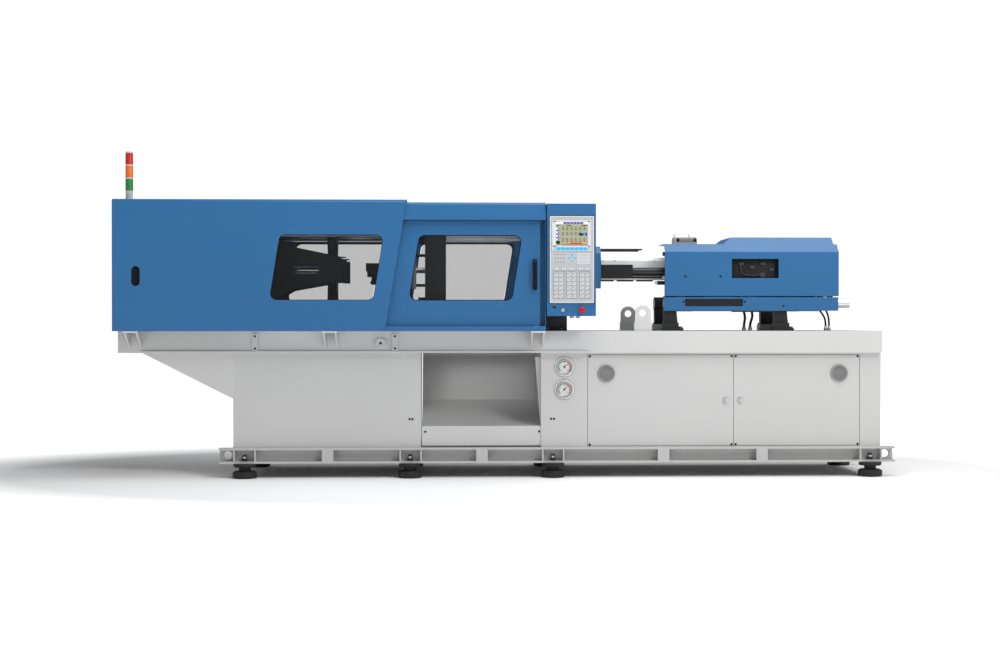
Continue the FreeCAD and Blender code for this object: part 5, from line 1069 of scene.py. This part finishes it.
        mark("white", 0.0, 0.22, 0.92, 1.0)
        for k in range(6):
            mark("blue", 0.24 + 0.105 * k, 0.32 + 0.105 * k, 0.925, 0.985)
        mark("white", 0.87, 1.0, 0.92, 1.0)
        mark("dark", 0.0, 0.1, 0.83, 0.87, 0.0001)
        mark("green", 0.03, 0.09, 0.825, 0.88, 0.0003)
        mark("dark", 0.32, 0.47, 0.84, 0.87)
        mark("dark", 0.79, 0.98, 0.84, 0.87)
        for k in range(7):
            mark("blue" if k % 2 else "white", 0.0, 0.04, 0.23 + 0.075 * k, 0.29 + 0.075 * k)
            mark("blue", 0.05, 0.1, 0.235 + 0.075 * k, 0.265 + 0.075 * k)
        mark("dark", 0.0, 0.12, 0.06, 0.2)
        for base, cells in ((0.66, 6), (0.44, 5), (0.17, 6)):
            for k in range(cells):
                u = 0.19 + 0.135 * k
                for step, width in enumerate((0.062, 0.045, 0.054)):
                    mark("dark", u, u + width, base + 0.055 * step, base + 0.055 * step + 0.026)
                mark("blue", u + 0.075, u + 0.1, base + 0.055, base + 0.085)
        mark("blue", 0.86, 0.98, 0.42, 0.54)
        mark("cyan", 0.88, 0.92, 0.43, 0.52, 0.0003)
        mark("dark", 0.72, 0.85, 0.42, 0.53)
        mark("red", 0.33, 0.82, 0.065, 0.125)
        mark("orange", 0.36, 0.44, 0.07, 0.12, 0.0003)
        mark("orange", 0.84, 1.0, 0.075, 0.11)
        for k in range(9):
            mark("dark", 0.18 + 0.09 * k, 0.25 + 0.09 * k, 0.012, 0.04)
        for ink, layer in layers.items():
            layer.finish("screen_ink_" + ink, "ink_" + ink, slot="screen_glass")


class MACHINE_OT_gauges(PieceOperator):
    """Printed dials, numbers and bezels of the two pressure gauges, with thin rings of painted shade at the
    bezels' edges
    """

    bl_idname = "machine.gauges"
    bl_label = "Pressure gauges"

    # Y of the dials, and the ends of their scales in degrees from the top.
    face = -0.4241
    scale_start = -135
    scale_sweep = 270

    def build(self):
        green, red, rings, edges = Shape(), Shape(), Shape(), Shape()
        ring = [(0.044, 0), (0.05, 0), (0.052, 0.001), (0.0515, 0.003)]
        ring += [(0.049, 0.0045), (0.0462, 0.0035), (0.045, 0.0006)]
        major, minor = [], []
        for z in GAUGE_HEIGHTS:
            green.arc(GAUGE_X, self.face, z, 0.0405, 0.0052, self.scale_start, 20)
            red.arc(GAUGE_X, self.face, z, 0.0405, 0.0052, 24, 135)
            for k in range(41):
                outward = self.outward(k / 40)
                ticks, radius = (minor, 0.0335) if k % 5 else (major, 0.0325)
                ticks.append((Vector((GAUGE_X, self.face - 0.0003, z)) + outward * radius, outward))
            for k, text in enumerate(("0", "5", "10", "15", "20")):
                self.number(z, k, text)
            rings.turning((GAUGE_X, -0.4355, z), FRONT, ring, 56)
            # Thin dark rings at the inner and outer edges of each bezel are painted shade.
            for inner, outer in ((0.052, 0.0545), (0.0638, 0.0662)):
                edges.turning((GAUGE_X, -0.4252, z), FRONT, disc(outer, 0.0008, bore=inner), 56)
        green.finish("dial_ink_green", "ink_green", slot="dial_white")
        red.finish("dial_ink_red", "ink_red", slot="dial_white")
        tree = tick_tree(materials["ink_dark"])
        scattered("dial_major_ticks", tree, major, MACHINE, "black_plastic", length=0.005, width=0.0008)
        scattered("dial_minor_ticks", tree, minor, MACHINE, "black_plastic", length=0.003, width=0.0004)
        rings.finish("gauge_rings", "clamp_steel", slot="zinc_steel")
        edges.finish("gauge_edges", "vent_shadow", slot="zinc_steel")

    def outward(self, share):
        """Direction from a dial's middle to a share of its scale."""
        a = math.radians(self.scale_start + self.scale_sweep * share)
        return Vector((math.sin(a), 0, math.cos(a)))

    def number(self, z, k, text):
        data = bpy.data.curves.new("dial_number", "FONT")
        data.body = text
        data.size = 0.0085
        data.extrude = 0.0001
        data.align_x = "CENTER"
        data.align_y = "CENTER"
        name = "dial_number_%d_%d" % (round(z * 1000), k)
        mesh = plain_mesh(name, linked(name, data))
        spot = Vector((GAUGE_X, self.face - 0.0002, z)) + self.outward(k / 4) * 0.0255
        mesh.transform(Matrix.Translation(spot) @ Matrix.Rotation(math.radians(90), 4, "X"))
        mesh.materials.clear()
        mesh.materials.append(materials["ink_dark"])
        piece(name, mesh, MACHINE, "black_plastic", 0)


class MACHINE_OT_signal_tower(PieceOperator):
    """Coloured lamp lenses and the gasket of the signal tower"""

    bl_idname = "machine.signal_tower"
    bl_label = "Signal tower"

    def build(self):
        for k, name in enumerate(("lamp_green", "lamp_orange", "lamp_red")):
            low = TOWER_FOOT + 0.064 + 0.083 * k
            profile = [(0.0088, low), (0.0245, low)]
            for j in range(12):
                step = low + 0.001 + 0.072 * j / 12
                profile += [(0.0248, step + 0.001), (0.024, step + 0.0035)]
            profile += [(0.0245, low + 0.073), (0.0088, low + 0.073)]
            lens = Shape().turning((TOWER_X, TOWER_Y, 0.0), UP, profile, 40)
            lens = lens.finish("tower_" + name, name, slot="lamp_lens")
            if k == 0:
                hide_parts("tower_lamps")
        foot = disc(0.0315, 0.004, 0.026, 0.01)
        gasket = Shape().turning((TOWER_X, TOWER_Y, TOWER_FOOT + 0.0005), UP, foot, 40)
        gasket.finish("tower_gasket", "panel_silver")


class MACHINE_OT_guards(PieceOperator):
    """Window gaskets, dark strips of painted shadow under the headers, the chute's flap, pull dishes and the
    door handle
    """

    bl_idname = "machine.guards"
    bl_label = "Guard details"

    def build(self):
        radius = look().gasket_radius
        tail = Shape().tube(window_loop(-1.534, -0.872, -0.6465), radius, 8, closed=True).mirrored()
        tail.finish("tail_window_gaskets", "black_plastic")
        for name, side in (("front", 1), ("rear", -1)):
            loop = window_loop(-0.648, 0.013, -0.5975)
            gasket = Shape().tube([(p.x, p.y * side, p.z) for p in loop], radius, 8, closed=True)
            gasket.finish(name + "_door_gasket", "black_plastic", name + "_safety_door")
        # A thin black strip under each header is painted shadow in the gap above the doors.
        low, high = HEADER_BOTTOM - 0.003, HEADER_BOTTOM - 0.0002
        gap_shadow = Shape().box((-0.76, -0.636, low), (0.229, -0.6025, high), 0.0005).mirrored()
        gap_shadow.finish("header_gap_shadow", "ink_dark", slot="black_plastic")
        # The flap takes the frame's cream darkened as painted shade.
        flap = Shape().box((-0.566, 0.3602, 0.7832), (0.2117, 0.3638, 0.8127), 0.0004)
        flap.finish("chute_top_flap", "cabinet_paint", slot="cream_paint")
        self.handle()
        self.pull()

    def handle(self):
        """Wide flat bow handle with its feet turned in."""
        outer = [(0.6, 0.098), (0.624, 0.096), (0.6395, 0.076)]
        inner = [(0.6, 0.08), (0.615, 0.078), (0.63, 0.066)]
        outline = outer + [(y, -z) for y, z in outer[::-1]]
        outline += [(y, -z) for y, z in inner] + inner[::-1]
        bow = Shape().prism([Vector((0.1465, -y, 1.318 + z)) for y, z in outline], (0.027, 0, 0))
        bow.round_edges([e for e in bow.bm.edges if all(abs(v.co.y) > 0.601 for v in e.verts)], 0.002, 3)
        handle = bow.finish("door_handle_bow", "black_plastic", "front_safety_door")
        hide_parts("front_door_handle")

    def pull(self):
        """Black lip and dark floor of the recessed pulls."""
        x, z, half, r = -2.376, 1.305, 0.037, 0.0235
        loop = []
        for middle, start in ((z + half, 0.0), (z - half, math.pi)):
            turns = [start + math.pi * k / 12 for k in range(13)]
            loop += [(x + r * math.cos(a), middle + r * math.sin(a)) for a in turns]
        dishes = Shape()
        # The rear lip stays flush, so that nothing stands past the guard's rear sheet.
        for lip, floor in ((-0.6505, -0.64), (0.6468, 0.637)):
            dishes.tube([(u, lip, v) for u, v in loop], 0.003, 8, closed=True)
            dishes.prism([Vector((u, floor, v)) for u, v in loop], (0, 0.003, 0))
        dishes.finish("pull_dishes", "black_plastic")


class MACHINE_OT_mechanics(PieceOperator):
    """Motor fins, cylinder pipes, vents, lock faces and small fittings"""

    bl_idname = "machine.mechanics"
    bl_label = "Mechanics"

    def build(self):
        spots = [((0.968 + 0.0185 * k, 0.06, 0.392), RIGHT) for k in range(17)]
        fins = fin_tree(materials["motor_paint"])
        scattered("motor_fins", fins, spots, MACHINE, "motor_paint", radius=0.123, thickness=0.004)
        self.clamp_pipes()
        self.unit_fittings()
        self.hood_window()
        self.vents()
        self.locks()

    def clamp_pipes(self):
        pipes = Shape()
        nut = disc(0.019, 0.02, 0.016, 0.024)
        for y in (-0.05, 0.05):
            path = [(-2.205, y, 1.475), (-2.205, y, 1.56), (-1.79, y, 1.56), (-1.79, y, 1.49)]
            pipes.tube(bent_path(path, 0.04), 0.011)
            for x, z in ((-2.205, 1.478), (-1.79, 1.48)):
                pipes.turning((x, y, z), UP, nut, 6)
        pipes.finish("clamp_cylinder_pipes", "zinc_steel")
        cap = Shape().box((-0.93, -0.022, 1.405), (-0.86, 0.022, 1.4105), 0.002)
        cap.finish("ejector_cap", "dark_casting", CLAMP)

    def unit_fittings(self):
        """A black sheet of painted shade behind the hood window, the curtain behind the skirt's slot, the
        stop bar, the throat's sides and gland nuts.
        """
        plates = Shape()
        for low, high, bevel in (
            # First plate: a black sheet of painted shade that darkens the hood's inside behind its window.
            ((1.47, -0.262, 1.2225), (1.815, -0.256, 1.445), 0.002),
            ((1.17, -0.2945, 1.112), (1.568, -0.2915, 1.172), 0.0),
            ((1.489, -0.3, 1.0795), (1.79, -0.276, 1.0879), 0.001),
            ((1.029, -0.298, 1.451), (1.042, -0.27, 1.478), 0.002),
            ((1.004, -0.215, 1.262), (1.122, -0.185, 1.288), 0.003),
        ):
            plates.box(low, high, bevel)
        plates.finish("hood_shade_sheet_and_plates", "shroud_black", UNIT, "black_plastic")
        end = Shape().box((0.988, -0.212, 1.265), (1.0045, -0.188, 1.285), 0.003)
        end.finish("stop_bar_end", "bezel_pale", UNIT, "panel_silver")
        throat = Shape().box((1.15, -0.0722, 1.553), (1.2885, -0.0708, 1.5765), 0.0005).mirrored()
        throat.finish("throat_plates", "throat_grey", UNIT, "panel_silver")
        glands = Shape()
        nut = disc(0.015, 0.008, 0.0125, 0.0105, bore=0.0093)
        for x in (0.401, 0.441):
            glands.turning((x, -0.57, 1.0412), UP, nut, 6)
        glands.finish("cabinet_gland_nuts", "panel_silver")

    def hood_window(self):
        """Clips, a knob and a cable on the black sheet of painted shade behind the hood window."""
        fittings = Shape()
        for x, z in ((1.54, 1.392), (1.612, 1.368), (1.684, 1.392), (1.742, 1.352)):
            fittings.box((x, -0.272, z), (x + 0.034, -0.2615, z + 0.02), 0.003)
        fittings.turning((1.7, -0.2615, 1.325), FRONT, disc(0.02, 0.008, 0.016, 0.011), 28)
        places = ((1.55, 1.395), (1.56, 1.33), (1.64, 1.322), (1.686, 1.33))
        fittings.tube(bent_path([(x, -0.27, z) for x, z in places], 0.02), 0.0045, 10)
        fittings.finish("hood_window_fittings", "fitting_grey", UNIT, "black_plastic")

    def vents(self):
        """Rings, louvre slats and a dark disc of painted shade behind the slats of the round vents in the
        cabinet doors.
        """
        height, step = 0.677, 0.0066
        louvres = slat_tree(materials["vent_grey"])
        ring = [(0.047, 0), (0.0575, 0), (0.0575, 0.008), (0.0545, 0.0115), (0.05, 0.0115), (0.047, 0.007)]
        rises = [step * k for k in range(-6, 7)]
        reaches = [2 * math.sqrt(0.048**2 - rise**2) for rise in rises]
        for name, x in (("left", 0.64), ("right", 2.177)):
            body = name + "_cabinet_door"
            centre = (x, -0.4205, height)
            turned = Shape().turning(centre, FRONT, ring, 56)
            turned.finish(name + "_vent_ring", "vent_grey", body, "cream_paint")
            # A dark disc behind the slats is painted shade inside the vent.
            back = Shape().turning(centre, FRONT, disc(0.0475, 0.0015), 40)
            back.finish(name + "_vent_shade_disc", "vent_shadow", body, "cream_paint")
            spots = [((x, -0.4245, height + rise), FRONT) for rise in rises]
            scattered(name + "_vent_slats", louvres, spots, body, "cream_paint", 0, reaches, thickness=0.0036)

    def locks(self):
        """Key slots of the door locks drawn dark as painted shade, each with a thin ring of painted shadow
        round the lock.
        """
        for name, x in (("left_lock", 1.426), ("right_lock", 1.524)):
            face = Shape().turning((x, -0.429, 0.5), FRONT, disc(0.006, 0.0006), 28)
            # The thin dark ring on the door round each lock is painted shadow.
            face.turning((x, -0.4205, 0.5), FRONT, disc(0.019, 0.001, bore=0.015), 40)
            face.finish(name + "_face", "vent_shadow", name, "black_plastic")


OPERATORS = (
    MACHINE_OT_stage,
    MACHINE_OT_finishes,
    MACHINE_OT_hoses,
    MACHINE_OT_fasteners,
    MACHINE_OT_operator_panel,
    MACHINE_OT_gauges,
    MACHINE_OT_signal_tower,
    MACHINE_OT_guards,
    MACHINE_OT_mechanics,
)


class MACHINE_PT_sidebar(bpy.types.Panel):
    """Lists the sizes, colours and steps of the machine"""

    bl_idname = "MACHINE_PT_sidebar"
    bl_label = "Moulding machine"
    bl_space_type = "VIEW_3D"
    bl_region_type = "UI"
    bl_category = "Moulding machine"

    def draw(self, context):
        settings = context.scene.machine_look
        for name in MachineLook.__annotations__:
            self.layout.prop(settings, name)
        for operator in OPERATORS:
            self.layout.operator(operator.bl_idname)


CLASSES = (MachineLook,) + OPERATORS + (MACHINE_PT_sidebar,)


def register():
    for cls in CLASSES:
        bpy.utils.register_class(cls)
    bpy.types.Scene.machine_look = PointerProperty(type=MachineLook)


def unregister():
    del bpy.types.Scene.machine_look
    for cls in reversed(CLASSES):
        bpy.utils.unregister_class(cls)


def main():
    register()
    for operator in OPERATORS:
        group, name = operator.bl_idname.split(".")
        getattr(getattr(bpy.ops, group), name)()


if __name__ == "__main__":
    main()
